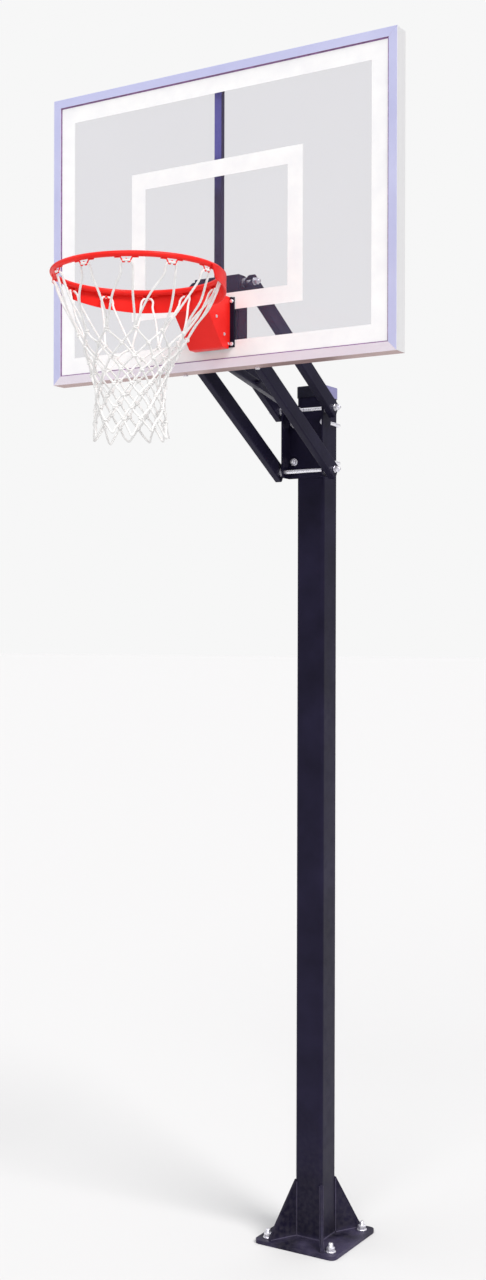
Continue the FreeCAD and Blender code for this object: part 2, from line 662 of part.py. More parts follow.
def rim_bolts():
    bolts = []
    for x, z in RIM_BOLTS:
        head = rod_y(x, BASE_FRONT - 5, BASE_FRONT, z, 5.8)
        dome = [e for e in head.Edges if e.BoundBox.YMax < BASE_FRONT - 4]
        head = head.makeFillet(2.5, dome)
        bolts.append(head.fuse(rod_y(x, BASE_FRONT - 1, -620, z, RIM_BOLT_RADIUS)))
    return compound(bolts)


def rim_bolt_nuts():
    nuts = []
    for x, z in RIM_BOLTS:
        nut = hexagon(V(x, BOARD_WEB_BACK, z), Y_AXIS, 13, 7)
        nuts.append(nut.cut(rod_y(x, -640, -610, z, RIM_BOLT_RADIUS)))
    return compound(nuts)


def rim_hinge_pin():
    """Pin with peened ends, flush with the outside of the cheeks."""
    return rod_x(-SIDE_OUTER, SIDE_OUTER, HINGE_Y, HINGE_Z, HINGE_RADIUS)


def housing_wedge(inset, x0, x1, longer):
    """The housing's lower front, drawn this far inside the cover's outer face."""
    lean = (COVER_TOP_Y - HOUSING_FRONT) / (COVER_TOP_Z - HOUSING_BOTTOM)
    shift = inset * math.hypot(lean, 1)
    top = COVER_TOP_Z + longer
    bottom = HOUSING_BOTTOM + inset
    back = COVER_RETURN + longer
    outline = [
        (back, bottom),
        (back, top),
        (HOUSING_FRONT + lean * (top - HOUSING_BOTTOM) + shift, top),
        (HOUSING_FRONT + lean * inset + shift, bottom),
    ]
    wedge = plate_from_outline(outline, x0, x1)
    across = [e for e in wedge.Edges if e.BoundBox.XLength > 1 and e.CenterOfMass.z < bottom + 1]
    front = min(across, key=lambda e: e.CenterOfMass.y)
    return wedge.makeFillet(HOUSING_BEND - inset, [front])


def ring_room():
    return rod_z(0, RING_Y, BRACE_BOTTOM - 50, 3100, BRACE_OUTER + 0.3)


def rim_side_plates():
    """Two cheeks behind the cover, rounded about the hinge so that they can swing."""
    inside = 8.0
    outline = [
        (HOUSING_BACK, HINGE_Z),
        (HOUSING_BACK, TOP_PLATE_Z),
        (RING_Y + BRACE_INNER - 10, TOP_PLATE_Z),
        (RING_Y + BRACE_INNER - 10, COVER_TOP_Z),
        (COVER_TOP_Y + inside, COVER_TOP_Z),
        (COVER_RETURN, HOUSING_BOTTOM + COVER_THICK),
        (HINGE_Y, HINGE_Z - HINGE_EYE + 0.3),
    ]
    cheek = plate_from_outline(outline, SIDE_INNER, SIDE_OUTER)
    eye = rod_x(SIDE_INNER, SIDE_OUTER, HINGE_Y, HINGE_Z, HINGE_EYE - 0.2)
    cheek = cheek.fuse([eye, housing_wedge(COVER_THICK, SIDE_INNER, SIDE_OUTER, 0)])
    cheek = cheek.cut(rod_x(0, 80, HINGE_Y, HINGE_Z, HINGE_RADIUS + FIT))
    return mirrored(cheek.cut(ring_room()).removeSplitter())


def rim_cover():
    """The housing's front sheet, rolled under at the bottom, over the cheeks' front edges."""
    outside = housing_wedge(0, -SIDE_OUTER, SIDE_OUTER, 0)
    inside = housing_wedge(COVER_THICK, -SIDE_OUTER - 1, SIDE_OUTER + 1, 5)
    return outside.cut(inside).cut(ring_room())


def rim_top_plate():
    plate = box(-SIDE_OUTER, SIDE_OUTER, -900, HOUSING_BACK, TOP_PLATE_Z, TOP_PLATE_Z + TOP_PLATE_THICK)
    return plate.cut(rod_z(0, RING_Y, 3000, 3100, BRACE_INNER + 0.1))


def rim_spring_seat():
    """Cross plate between the cheeks that the two springs push back on."""
    seat = box(-SIDE_INNER + 0.2, SIDE_INNER - 0.2, SPRING_SEAT_FRONT, SPRING_SEAT_BACK, 2965, TOP_PLATE_Z)
    for side in (-1, 1):
        x = side * SPRING_X
        seat = seat.cut(box(x - 5.5, x + 5.5, SPRING_SEAT_FRONT - 1, SPRING_SEAT_BACK + 1, 2983, 3007))
    return seat


def spring_rods():
    front = SPRING_STOP - 14
    rods = []
    for side in (-1, 1):
        rods.append(rod_y(side * SPRING_X, front, PANEL_FRONT - 0.2, SPRING_Z, SPRING_ROD))
    return compound(rods)


def spring_stops():
    """Washer and nut at the front end of each spring rod."""
    stops = []
    for side in (-1, 1):
        x = side * SPRING_X
        washer = rod_y(x, SPRING_STOP - 2, SPRING_STOP, SPRING_Z, 14)
        nut = hexagon(V(x, SPRING_STOP - 2, SPRING_Z), -Y_AXIS, 13, 7)
        stops.append(washer.fuse(nut).cut(rod_y(x, -800, -700, SPRING_Z, SPRING_ROD)))
    return compound(stops)


def breakaway_springs():
    length = SPRING_SEAT_FRONT - SPRING_STOP - 2 * SPRING_WIRE - 0.6
    springs = []
    for side in (-1, 1):
        helix = Part.makeHelix(9.0, length, SPRING_RADIUS)
        section = Part.Wire([Part.makeCircle(SPRING_WIRE, V(SPRING_RADIUS, 0, 0), Y_AXIS)])
        coil = Part.Wire(helix).makePipeShell([section], True, True)
        coil.rotate(V(0, 0, 0), X_AXIS, -90)
        coil.translate(V(side * SPRING_X, SPRING_STOP + SPRING_WIRE + 0.3, SPRING_Z))
        springs.append(coil)
    return compound(springs)


def rim_rivets():
    """Round-headed rivets that hold the cover's flanges to the cheeks."""
    rivets = []
    for y, z in ((-689.5, 2928.0), (-733.0, 2973.5)):
        head = rod_x(SIDE_OUTER, SIDE_OUTER + 2.2, y, z, 4.5)
        rivets.append(head)
        rivets.append(head.mirror(V(0, 0, 0), X_AXIS))
    return compound(rivets)


def rim_ring():
    return Part.makeTorus(RING_RADIUS, RING_ROD, V(0, RING_Y, RING_Z))


def rim_brace():
    """A band round the rear half of the ring, deeper towards the housing."""
    band = rod_z(0, RING_Y, BRACE_BOTTOM, TOP_PLATE_Z - 0.2, BRACE_OUTER)
    band = band.cut(rod_z(0, RING_Y, BRACE_BOTTOM - 1, TOP_PLATE_Z + 1, BRACE_INNER))
    lower_cut = plate_from_outline([
        (RING_Y - 300, BRACE_BOTTOM - 40),
        (RING_Y - 300, BRACE_END_BOTTOM),
        (RING_Y, BRACE_END_BOTTOM),
        (RING_Y + 205, BRACE_BOTTOM),
        (RING_Y + 205, BRACE_BOTTOM - 40),
    ], -300, 300)
    front_cut = plate_from_outline([
        (RING_Y - 300, BRACE_BOTTOM - 40),
        (RING_Y - 300, TOP_PLATE_Z + 10),
        (RING_Y, TOP_PLATE_Z + 10),
        (RING_Y, TOP_PLATE_Z),
        (RING_Y + 22, BRACE_END_BOTTOM - 4),
        (RING_Y + 22, BRACE_BOTTOM - 40),
    ], -300, 300)
    return cut_all(band, [lower_cut, front_cut])


def net_clip():
    """A W-shaped wire hook welded under the ring's rod at (radius, 0) by its two tails."""
    top = -RING_ROD - CLIP_WIRE + 0.5
    half = [(CLIP_LENGTH / 2, top), (16, top), (9, top - 13), (5, top - 13), (0, top - 4)]
    path = half + [(-t, z) for t, z in reversed(half[:-1])]
    points = [V(math.sqrt(RING_RADIUS**2 - t * t), t, z) for t, z in path]
    clip = Part.makeSphere(CLIP_WIRE, points[0])
    for start, end in zip(points, points[1:]):
        run = end - start
        clip = clip.fuse(Part.makeCylinder(CLIP_WIRE, run.Length, start, run))
        clip = clip.fuse(Part.makeSphere(CLIP_WIRE, end))
    return clip.cut(Part.makeTorus(RING_RADIUS, RING_ROD, V(0, 0, 0)))


def net_clips():
    first = net_clip()
    clips = []
    for step in range(CLIP_COUNT):
        clip = first.copy()
        clip.rotate(V(0, 0, 0), Z_AXIS, 360.0 / CLIP_COUNT * step + CLIP_TURN)
        clip.translate(V(0, RING_Y, RING_Z))
        clips.append(clip)
    return compound(clips)


def net_solid(inset, longer):
    """The net's outer form, drawn this far inside its skin."""
    outline = list(NET_OUTLINE)
    if longer:
        (top_radius, top), (low_radius, low) = outline[0], outline[-1]
        outline = [(top_radius, top + longer)] + outline + [(low_radius, low - longer)]
    hoops = []
    for radius, z in outline:
        hang = min(max((NET_LEAN_TOP - z) / NET_LEAN_DROP, 0.0), 1.0)
        centre = V(NET_LEAN_X * hang, RING_Y + NET_LEAN_Y * hang, z)
        hoops.append(Part.Wire([Part.makeCircle(radius - inset, centre, Z_AXIS)]))
    return Part.makeLoft(hoops, True, True)


def net():
    """The hanging net as a thin open tube that narrows and hangs a little to one side."""
    return net_solid(0, 0).cut(net_solid(NET_WALL, 2))


# ---- export ----------------------------------------------------------------------------------------
anchor_studs, anchor_washers, anchor_nuts = anchor_parts()
u_bolts, u_bolt_washers, u_bolt_nuts = u_bolt_parts()
pole_sets = pivot_parts(PIVOT_Y, (LOWER_PIVOT_Z, UPPER_PIVOT_Z))
board_sets = pivot_parts(BOARD_PIVOT_Y, (BOARD_LOWER_Z, BOARD_UPPER_Z))
rails = frame_rails()
clamp_bolt, clamp_nut = strut_clamp()

save(base_plate(), "base_plate")
save(base_gussets(), "base_gussets")
save(anchor_studs, "anchor_studs")
save(anchor_washers, "anchor_washers")
save(anchor_nuts, "anchor_nuts")
save(pole(), "pole")
save(pole_cap(), "pole_cap")
save(pole_bracket(), "pole_bracket")
save(u_bolts, "u_bolts")
save(u_bolt_washers, "u_bolt_washers")
save(u_bolt_nuts, "u_bolt_nuts")
for place, parts in (("pole", pole_sets), ("board", board_sets)):
    for kind, shape in zip(("rods", "spacers", "rod_washers", "rod_nuts"), parts):
        save(shape, place + "_" + kind)
for side, name in ((-1, "left"), (1, "right")):
    save(arm(side, LOWER_PIVOT_Z, ROD_RADIUS + FIT), "lower_arm_" + name)
    save(arm(side, UPPER_PIVOT_Z, ROD_RADIUS + OPEN_PIVOT_PLAY), "upper_arm_" + name)
save(strut_inner(), "strut_inner")
save(strut_outer(), "strut_outer")
save(clamp_bolt, "strut_clamp_bolt")
save(clamp_nut, "strut_clamp_nut")
save(strut_eye_spacers(), "strut_eye_spacers")
save(strut_collar(), "strut_collar")
for name, rail in rails.items():
    save(rail, "frame_" + name)
save(corner_keys(), "frame_corner_keys")
save(panel(), "panel")
save(gasket(), "panel_gasket")
save(printed_border(), "printed_border")
save(shooter_square(), "shooter_square")
save(mounting_pad(), "mounting_pad")
save(board_bracket(), "board_bracket")
save(bracket_foot(), "bracket_foot")
save(foot_screws(), "foot_screws")
save(centre_stile(), "centre_stile")
save(stile_rivets(), "stile_rivets")
save(rim_base_plate(), "rim_base_plate")
save(rim_bolts(), "rim_bolts")
save(rim_bolt_nuts(), "rim_bolt_nuts")
save(rim_hinge_pin(), "rim_hinge_pin")
save(spring_rods(), "spring_rods")
save(spring_stops(), "spring_stops")
save(breakaway_springs(), "breakaway_springs")
save(rim_spring_seat(), "rim_spring_seat")
save(rim_side_plates(), "rim_side_plates")
save(rim_cover(), "rim_cover")
save(rim_top_plate(), "rim_top_plate")
save(rim_rivets(), "rim_rivets")
save(rim_ring(), "rim_ring")
save(rim_brace(), "rim_brace")
save(net_clips(), "net_clips")
save(net(), "net")
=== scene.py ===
import json
import math
import random

import bmesh
import bpy
import numpy as np
from mathutils import Matrix, Vector


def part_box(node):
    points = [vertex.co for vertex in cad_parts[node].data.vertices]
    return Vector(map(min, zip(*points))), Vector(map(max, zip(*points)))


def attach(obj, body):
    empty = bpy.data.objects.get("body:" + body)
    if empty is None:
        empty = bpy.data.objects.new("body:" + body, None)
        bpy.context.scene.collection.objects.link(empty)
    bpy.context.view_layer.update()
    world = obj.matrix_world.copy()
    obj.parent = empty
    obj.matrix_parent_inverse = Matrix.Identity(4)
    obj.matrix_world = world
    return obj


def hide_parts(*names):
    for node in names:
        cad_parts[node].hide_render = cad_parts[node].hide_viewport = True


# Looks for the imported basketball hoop: metres, +Z up, the board faces -Y.
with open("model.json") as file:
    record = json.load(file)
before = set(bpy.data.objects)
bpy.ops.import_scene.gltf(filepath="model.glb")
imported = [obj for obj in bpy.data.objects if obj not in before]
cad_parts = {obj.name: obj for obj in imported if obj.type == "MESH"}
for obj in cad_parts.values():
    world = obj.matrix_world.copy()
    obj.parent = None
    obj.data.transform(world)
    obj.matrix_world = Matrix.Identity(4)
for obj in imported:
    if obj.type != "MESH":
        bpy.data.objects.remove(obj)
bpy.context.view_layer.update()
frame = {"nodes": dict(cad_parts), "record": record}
nodes = frame["nodes"]
node_body = {n: b for b, names in frame["record"]["behaviour"]["bodies"].items() for n in names}
scene = bpy.context.scene
MM = 0.001


# ---- camera, lights and floor ------------------------------------------------------------
CAMERA_PLACE = (2.5114, -4.6098, 2.0211)
CAMERA_TURN = (31.3, -0.05, 0.14)       # degrees: yaw to the left of +Y, pitch, roll
SENSOR_WIDTH = 36                       # mm
LENS = 43.67                            # mm
FARTHEST = 400
FLOOR_SIZE = 300
WORLD_SEEN = 0.93                       # strength that the camera sees
WORLD_LIGHT = 0.4                       # strength that lights the hoop


def make_camera():
    yaw, pitch, roll = (math.radians(angle) for angle in CAMERA_TURN)
    forward = Vector((-math.sin(yaw) * math.cos(pitch), math.cos(yaw) * math.cos(pitch), math.sin(pitch)))
    level = Vector((math.cos(yaw), math.sin(yaw), 0))
    above = level.cross(forward)
    right = level * math.cos(roll) + above * math.sin(roll)
    up = above * math.cos(roll) - level * math.sin(roll)
    data = bpy.data.cameras.new("camera")
    data.sensor_width = SENSOR_WIDTH
    data.lens = LENS
    data.clip_end = FARTHEST
    camera = bpy.data.objects.new("camera", data)
    turn = Matrix((right, up, -forward)).transposed().to_4x4()
    camera.matrix_world = Matrix.Translation(CAMERA_PLACE) @ turn
    scene.collection.objects.link(camera)
    scene.camera = camera


def sun(name, azimuth, elevation, strength, size, colour):
    """A soft sun that shines from this azimuth (0 is -Y, 90 is +X) and elevation, in degrees."""
    data = bpy.data.lights.new(name, "SUN")
    data.energy = strength
    data.angle = math.radians(size)
    data.color = colour
    lamp = bpy.data.objects.new(name, data)
    around, up = math.radians(azimuth), math.radians(elevation)
    source = Vector((math.sin(around) * math.cos(up), -math.cos(around) * math.cos(up), math.sin(up)))
    lamp.rotation_mode = "QUATERNION"
    lamp.rotation_quaternion = source.to_track_quat("Z", "Y")
    scene.collection.objects.link(lamp)


def make_world():
    """White to the camera, dimmer as a light, so that black paint stays black."""
    world = bpy.data.worlds.new("studio")
    world.use_nodes = True
    scene.world = world
    tree = world.node_tree
    background = tree.nodes["Background"]
    background.inputs["Color"].default_value = (1, 1, 1, 1)
    rays = tree.nodes.new("ShaderNodeLightPath")
    strength = tree.nodes.new("ShaderNodeMath")
    strength.operation = "MULTIPLY_ADD"
    strength.inputs[1].default_value = WORLD_SEEN - WORLD_LIGHT
    strength.inputs[2].default_value = WORLD_LIGHT
    tree.links.new(rays.outputs["Is Camera Ray"], strength.inputs[0])
    tree.links.new(strength.outputs[0], background.inputs["Strength"])


def make_floor():
    """A wide matt floor, for the hoop's soft shadow."""
    bpy.ops.mesh.primitive_plane_add(size=FLOOR_SIZE)
    floor = bpy.context.object
    floor.name = "floor"
    material = bpy.data.materials.new("floor")
    material.use_nodes = True
    shader = material.node_tree.nodes["Principled BSDF"]
    shader.inputs["Base Color"].default_value = (0.72, 0.72, 0.725, 1)
    shader.inputs["Roughness"].default_value = 1.0
    shader.inputs["Specular IOR Level"].default_value = 0.0
    floor.data.materials.append(material)


scene.view_settings.view_transform = "Standard"
make_camera()
make_world()
make_floor()
# Name, azimuth, elevation, strength, angular size in degrees, colour.
sun("key", 75, 48, 2.1, 25, (1.0, 0.98, 0.96))
sun("front", 15, 38, 1.05, 30, (1.0, 0.99, 0.98))
sun("fill", -60, 40, 0.5, 60, (0.94, 0.96, 1.0))
sun("back", 190, 50, 0.5, 40, (0.96, 0.97, 1.0))


# ---- materials -----------------------------------------------------------------------------
class Paint:
    """A material, its Principled shader, and short calls for the nodes that vary it."""

    def __init__(self, name, colour, roughness, **sockets):
        self.material = bpy.data.materials.new(name)
        self.material.use_nodes = True
        self.tree = self.material.node_tree
        self.shader = self.tree.nodes["Principled BSDF"]
        self.shader.inputs["Base Color"].default_value = (*colour, 1)
        self.shader.inputs["Roughness"].default_value = roughness
        for socket, value in sockets.items():
            self.shader.inputs[socket.replace("_", " ")].default_value = value
        self.place = self.tree.nodes.new("ShaderNodeTexCoord").outputs["Object"]

    def node(self, kind, inputs=(), **settings):
        made = self.tree.nodes.new(kind)
        for key, value in settings.items():
            setattr(made, key, value)
        for key, value in dict(inputs).items():
            if isinstance(value, bpy.types.NodeSocket):
                self.tree.links.new(value, made.inputs[key])
            else:
                made.inputs[key].default_value = value
        return made

    def stretched(self, scale):
        return self.node("ShaderNodeMapping", {"Vector": self.place, "Scale": scale}).outputs[0]

    def noise(self, scale, detail=2.0, stretch=None):
        place = self.stretched(stretch) if stretch else self.place
        inputs = {"Vector": place, "Scale": scale, "Detail": detail}
        return self.node("ShaderNodeTexNoise", inputs).outputs["Fac"]

    def cells(self, scale):
        inputs = {"Vector": self.place, "Scale": scale}
        return self.node("ShaderNodeTexVoronoi", inputs).outputs["Distance"]

    def spread(self, value, low, high, to_low=0.0, to_high=1.0):
        """The value with low to high stretched over to_low to to_high, and held at both ends."""
        inputs = {0: value, 1: low, 2: high, 3: to_low, 4: to_high}
        return self.node("ShaderNodeMapRange", inputs).outputs[0]

    def times(self, first, second):
        return self.node("ShaderNodeMath", {0: first, 1: second}, operation="MULTIPLY").outputs[0]

    def plus(self, first, second):
        return self.node("ShaderNodeMath", {0: first, 1: second}, operation="ADD").outputs[0]

    def blend(self, factor, first, second):
        """The first colour where factor is 0, the second where it is 1."""
        made = self.node("ShaderNodeMix", data_type="RGBA")
        for slot, value in ((0, factor), (6, first), (7, second)):
            if isinstance(value, bpy.types.NodeSocket):
                self.tree.links.new(value, made.inputs[slot])
            elif slot:
                made.inputs[slot].default_value = (*value, 1)
            else:
                made.inputs[slot].default_value = value
        return made.outputs[2]

    def height(self):
        return self.node("ShaderNodeSeparateXYZ", {0: self.place}).outputs["Z"]

    def facing(self, axis):
        """How far the surface faces along an axis of the hoop, from -1 to 1."""
        normal = self.node("ShaderNodeTexCoord").outputs["Normal"]
        return self.node("ShaderNodeSeparateXYZ", {0: normal}).outputs[axis]

    def colour(self, socket):
        self.tree.links.new(socket, self.shader.inputs["Base Color"])

    def roughness(self, socket):
        self.tree.links.new(socket, self.shader.inputs["Roughness"])

    def bump(self, socket, distance, strength):
        """Adds a bump, distance in metres, on top of those already there."""
        inputs = {"Height": socket, "Distance": distance, "Strength": strength}
        made = self.node("ShaderNodeBump", inputs)
        last = self.shader.inputs["Normal"].links
        if last:
            self.tree.links.new(last[0].from_socket, made.inputs["Normal"])
        self.tree.links.new(made.outputs[0], self.shader.inputs["Normal"])


LAVENDER = (0.72, 0.66, 1.0)
DUST_COLOUR = (0.12, 0.11, 0.12)
DUST_TOP = 0.55                         # dust thins out up to this height
# Painted reflection: pale lavender patches at the very foot of the base.
REFLECTION_COLOUR = (0.1, 0.085, 0.16)
REFLECTION_LOW, REFLECTION_HIGH = 0.013, 0.03     # the painted reflection fades out between these heights


def powder_coat(name, dark, light, roughness, grain, dusty, shine, tint):
    """Baked powder paint: orange peel, fine grain, uneven gloss; if dusty, dust low down and a painted
    lavender reflection in patches at the foot.
    """
    paint = Paint(name, light, roughness, Specular_IOR_Level=shine, Specular_Tint=(*tint, 1))
    tone = paint.spread(paint.noise(7.0, 4.0), 0.3, 0.7)
    colour = paint.blend(tone, dark, light)
    gloss = paint.spread(paint.noise(30.0, 3.0), 0.3, 0.7, roughness - 0.06, roughness + 0.08)
    if dusty:
        low = paint.spread(paint.height(), 0.0, DUST_TOP, 1.0, 0.0)
        patches = paint.spread(paint.noise(60.0, 5.0), 0.35, 0.75)
        dust = paint.times(paint.times(low, low), patches)
        colour = paint.blend(paint.times(dust, 0.28), colour, DUST_COLOUR)
        # Painted reflection: pale lavender patches at the very foot, fading out upwards.
        foot = paint.spread(paint.height(), REFLECTION_LOW, REFLECTION_HIGH, 0.42, 0.0)
        reflection_patches = paint.spread(paint.noise(9.0, 3.0), 0.4, 0.62)
        colour = paint.blend(paint.times(foot, reflection_patches), colour, REFLECTION_COLOUR)
        gloss = paint.plus(gloss, paint.times(dust, 0.25))
    paint.colour(colour)
    paint.roughness(gloss)
    paint.bump(paint.noise(220.0, 1.0), 0.0003, 0.35)
    paint.bump(paint.noise(1400.0, 2.0), 0.0001, grain)
    return paint.material


def zinc_plate():
    """Bright zinc: slightly cloudy crystals and turning marks."""
    paint = Paint("zinc_plate", (0.9, 0.89, 0.95), 0.3, Metallic=0.72)
    cloud = paint.spread(paint.noise(90.0, 4.0), 0.3, 0.7)
    paint.colour(paint.blend(cloud, (0.82, 0.81, 0.9), (0.97, 0.96, 1.0)))
    paint.roughness(paint.spread(paint.noise(260.0, 3.0), 0.3, 0.7, 0.2, 0.42))
    paint.bump(paint.noise(1200.0, 2.0), 0.0001, 0.3)
    return paint.material


def extruded_aluminium(name, along, pale, deep):
    """Satin anodised rail with fine drawing lines, a painted highlight on its outer sides and painted
    shade on its underside.

    along is the rail's own direction, "x" or "z".
    """
    paint = Paint(name, pale, 0.36, Metallic=0.5)
    stretch = (0.03, 1, 1) if along == "x" else (1, 1, 0.03)
    lines = paint.noise(1500.0, 3.0, stretch)
    stain = paint.spread(paint.noise(5.0, 4.0), 0.3, 0.7)
    # Painted shade: faces that point down turn a dull brownish pink.
    painted_shade_under = paint.spread(paint.facing("Z"), -0.9, -0.5, 1.0, 0.0)
    # Painted highlight: the sides facing along X, both ways, are whitened.
    sideways = paint.node("ShaderNodeMath", {0: paint.facing("X")}, operation="ABSOLUTE").outputs[0]
    sides = paint.spread(sideways, 0.5, 0.9)
    colour = paint.blend(sides, paint.blend(stain, deep, pale), (0.98, 0.98, 1.0))
    paint.colour(paint.blend(painted_shade_under, colour, (0.42, 0.27, 0.26)))
    paint.roughness(paint.spread(lines, 0.3, 0.7, 0.3, 0.46))
    paint.bump(lines, 0.0001, 0.35)
    return paint.material


def clear_panel():
    """Safety glass: a thin lavender-grey veil that lets the light through to the ironwork behind it."""
    paint = Paint("clear_panel", (0.2, 0.17, 0.29), 0.03, Alpha=0.125, IOR=1.5)
    haze = paint.spread(paint.noise(3.0, 5.0), 0.35, 0.7)
    paint.colour(paint.blend(haze, (0.18, 0.15, 0.27), (0.22, 0.19, 0.31)))
    paint.roughness(paint.spread(haze, 0.0, 1.0, 0.02, 0.07))
    paint.bump(paint.noise(2.2, 1.0), 0.002, 0.08)
    return paint.material


def rubber(name, tone):
    """Matt rubber with a bloom of dust."""
    paint = Paint(name, tone, 0.7)
    dusty = paint.spread(paint.noise(120.0, 4.0), 0.4, 0.8)
    paint.colour(paint.blend(dusty, tone, [2.1 * part for part in tone]))
    paint.roughness(paint.spread(paint.noise(300.0, 3.0), 0.3, 0.7, 0.6, 0.82))
    paint.bump(paint.noise(900.0, 3.0), 0.0002, 0.4)
    return paint.material


def moulded_plastic():
    """Black cap plastic, with a pale violet highlight painted on the side that faces the key light (+X).
    """
    paint = Paint("moulded_plastic", (0.02, 0.02, 0.025), 0.3, Specular_IOR_Level=0.2,
                  Specular_Tint=(*LAVENDER, 1))
    # Painted highlight: the +X side turns pale violet.
    painted_side_highlight = paint.spread(paint.facing("X"), 0.6, 0.9)
    colour = paint.blend(paint.noise(20.0, 3.0), (0.01, 0.01, 0.016), (0.018, 0.018, 0.028))
    paint.colour(paint.blend(painted_side_highlight, colour, (0.27, 0.26, 0.46)))
    paint.roughness(paint.spread(paint.noise(40.0, 3.0), 0.3, 0.7, 0.24, 0.36))
    paint.bump(paint.cells(1600.0), 0.00015, 0.5)
    return paint.material


HIGHLIGHT_LOW, HIGHLIGHT_HIGH = 3.36, 3.5         # the painted highlight on the stile's front comes in between these heights


def stile_paint():
    """The stile's coat, dark like the rest, with a violet highlight painted on its front above the
    shooter's square.
    """
    paint = Paint("stile_paint", (0.03, 0.026, 0.07), 0.4, Specular_IOR_Level=0.14,
                  Specular_Tint=(*LAVENDER, 1))
    tone = paint.spread(paint.noise(7.0, 4.0), 0.3, 0.7)
    front = paint.spread(paint.facing("Y"), -0.9, -0.5, 1.0, 0.0)
    # Painted highlight: the front turns violet from these heights up.
    painted_front_highlight = paint.times(front, paint.spread(paint.height(), HIGHLIGHT_LOW, HIGHLIGHT_HIGH))
    dark = paint.blend(tone, (0.012, 0.009, 0.022), (0.024, 0.017, 0.042))
    paint.colour(paint.blend(painted_front_highlight, dark, (0.125, 0.12, 0.44)))
    paint.roughness(paint.spread(paint.noise(30.0, 3.0), 0.3, 0.7, 0.34, 0.48))
    paint.bump(paint.noise(1400.0, 2.0), 0.0001, 0.4)
    return paint.material


def screen_print():
    """White screen ink, thin in places."""
    paint = Paint("screen_print", (0.93, 0.93, 0.93), 0.35)
    mottle = paint.spread(paint.noise(18.0, 5.0), 0.3, 0.75)
    paint.colour(paint.blend(mottle, (0.95, 0.95, 0.95), (0.88, 0.88, 0.9)))
    paint.roughness(paint.spread(paint.noise(200.0, 2.0), 0.3, 0.7, 0.3, 0.45))
    paint.bump(paint.noise(700.0, 2.0), 0.0001, 0.2)
    return paint.material


def braided_cord():
    """White polyester braid: fibre fuzz, dirt in patches."""
    paint = Paint("braided_cord", (0.88, 0.88, 0.87), 0.75, Sheen_Weight=0.35, Sheen_Roughness=0.5)
    soil = paint.spread(paint.noise(45.0, 4.0), 0.35, 0.8)
    paint.colour(paint.blend(soil, (0.86, 0.855, 0.85), (0.7, 0.695, 0.685)))
    paint.roughness(paint.spread(paint.noise(500.0, 2.0), 0.3, 0.7, 0.68, 0.88))
    paint.bump(paint.noise(2200.0, 3.0, (1, 1, 0.35)), 0.0003, 0.6)
    return paint.material


def spring_wire():
    """Bare spring steel under a thin, uneven film of oil."""
    paint = Paint("spring_wire", (0.3, 0.3, 0.32), 0.34, Metallic=1.0)
    oil = paint.spread(paint.noise(70.0, 3.0), 0.35, 0.7)
    paint.colour(paint.blend(oil, (0.34, 0.34, 0.36), (0.17, 0.15, 0.14)))
    paint.roughness(paint.spread(paint.noise(180.0, 2.0), 0.3, 0.7, 0.24, 0.46))
    paint.bump(paint.noise(1300.0, 2.0), 0.0001, 0.25)
    return paint.material


BLACK_PAINT = powder_coat("black_powder_coat", (0.0075, 0.0065, 0.016), (0.0145, 0.0125, 0.031),
                          0.36, 0.4, True, 0.14, LAVENDER)
STRUT_PAINT = powder_coat("strut_paint", (0.0095, 0.0085, 0.02), (0.017, 0.0145, 0.035),
                          0.3, 0.25, False, 0.3, LAVENDER)
# The weld beads: the black coat made lighter, a painted highlight along the beads.
WELD_HIGHLIGHT_PAINT = powder_coat("weld_painted_highlight", (0.03, 0.027, 0.05), (0.075, 0.066, 0.11),
                         0.4, 0.4, True, 0.3, LAVENDER)
RED_PAINT = powder_coat("red_powder_coat", (0.78, 0.012, 0.009), (0.92, 0.024, 0.018),
                        0.34, 0.3, False, 0.22, (1.0, 0.7, 0.7))
RAIL_TONES = ((0.68, 0.69, 0.96), (0.6, 0.61, 0.9))
# The lower rail's copy of the rail tones is pinker: a painted reflection.
LOWER_RAIL_REFLECTION_TONES = ((0.93, 0.86, 0.94), (0.86, 0.79, 0.88))
SLOT_LOOKS = {
    "black_powder_coat": BLACK_PAINT,
    "black_cap_plastic": moulded_plastic(),
    "zinc": zinc_plate(),
    "strut_steel": STRUT_PAINT,
    "frame_aluminium": extruded_aluminium("aluminium_along_x", "x", *RAIL_TONES),
    "clear_glass": clear_panel(),
    "black_rubber": rubber("black_rubber", (0.016, 0.012, 0.022)),
    "white_print": screen_print(),
    "red_powder_coat": RED_PAINT,
    "spring_steel": spring_wire(),
    "white_cord": braided_cord(),
}
UPRIGHT_ALUMINIUM = extruded_aluminium("aluminium_along_z", "z", *RAIL_TONES)
NODE_LOOKS = {
    "frame_left": UPRIGHT_ALUMINIUM,
    "frame_right": UPRIGHT_ALUMINIUM,
    "frame_bottom": extruded_aluminium("aluminium_lower_rail_reflection", "x", *LOWER_RAIL_REFLECTION_TONES),
    "panel_gasket": rubber("gasket_rubber", (0.19, 0.09, 0.23)),
    "centre_stile": stile_paint(),
}
node_slot = {row["node"]: row["material_slot"] for row in frame["record"]["subparts"]}


def node_look(node):
    """A node's own look, or else its material slot's."""
    return NODE_LOOKS.get(node) or SLOT_LOOKS[node_slot[node]]


for node, thing in nodes.items():
    thing.data.materials.clear()
    thing.data.materials.append(node_look(node))


# ---- making pieces -------------------------------------------------------------------------
EDGE_ANGLE = math.radians(35)           # sharper edges than this are rounded over
FLAT_ANGLE = math.radians(0.4)          # faces this close to flat are merged before that
SAME_PLACE = 2e-6                       # and so are points this close together


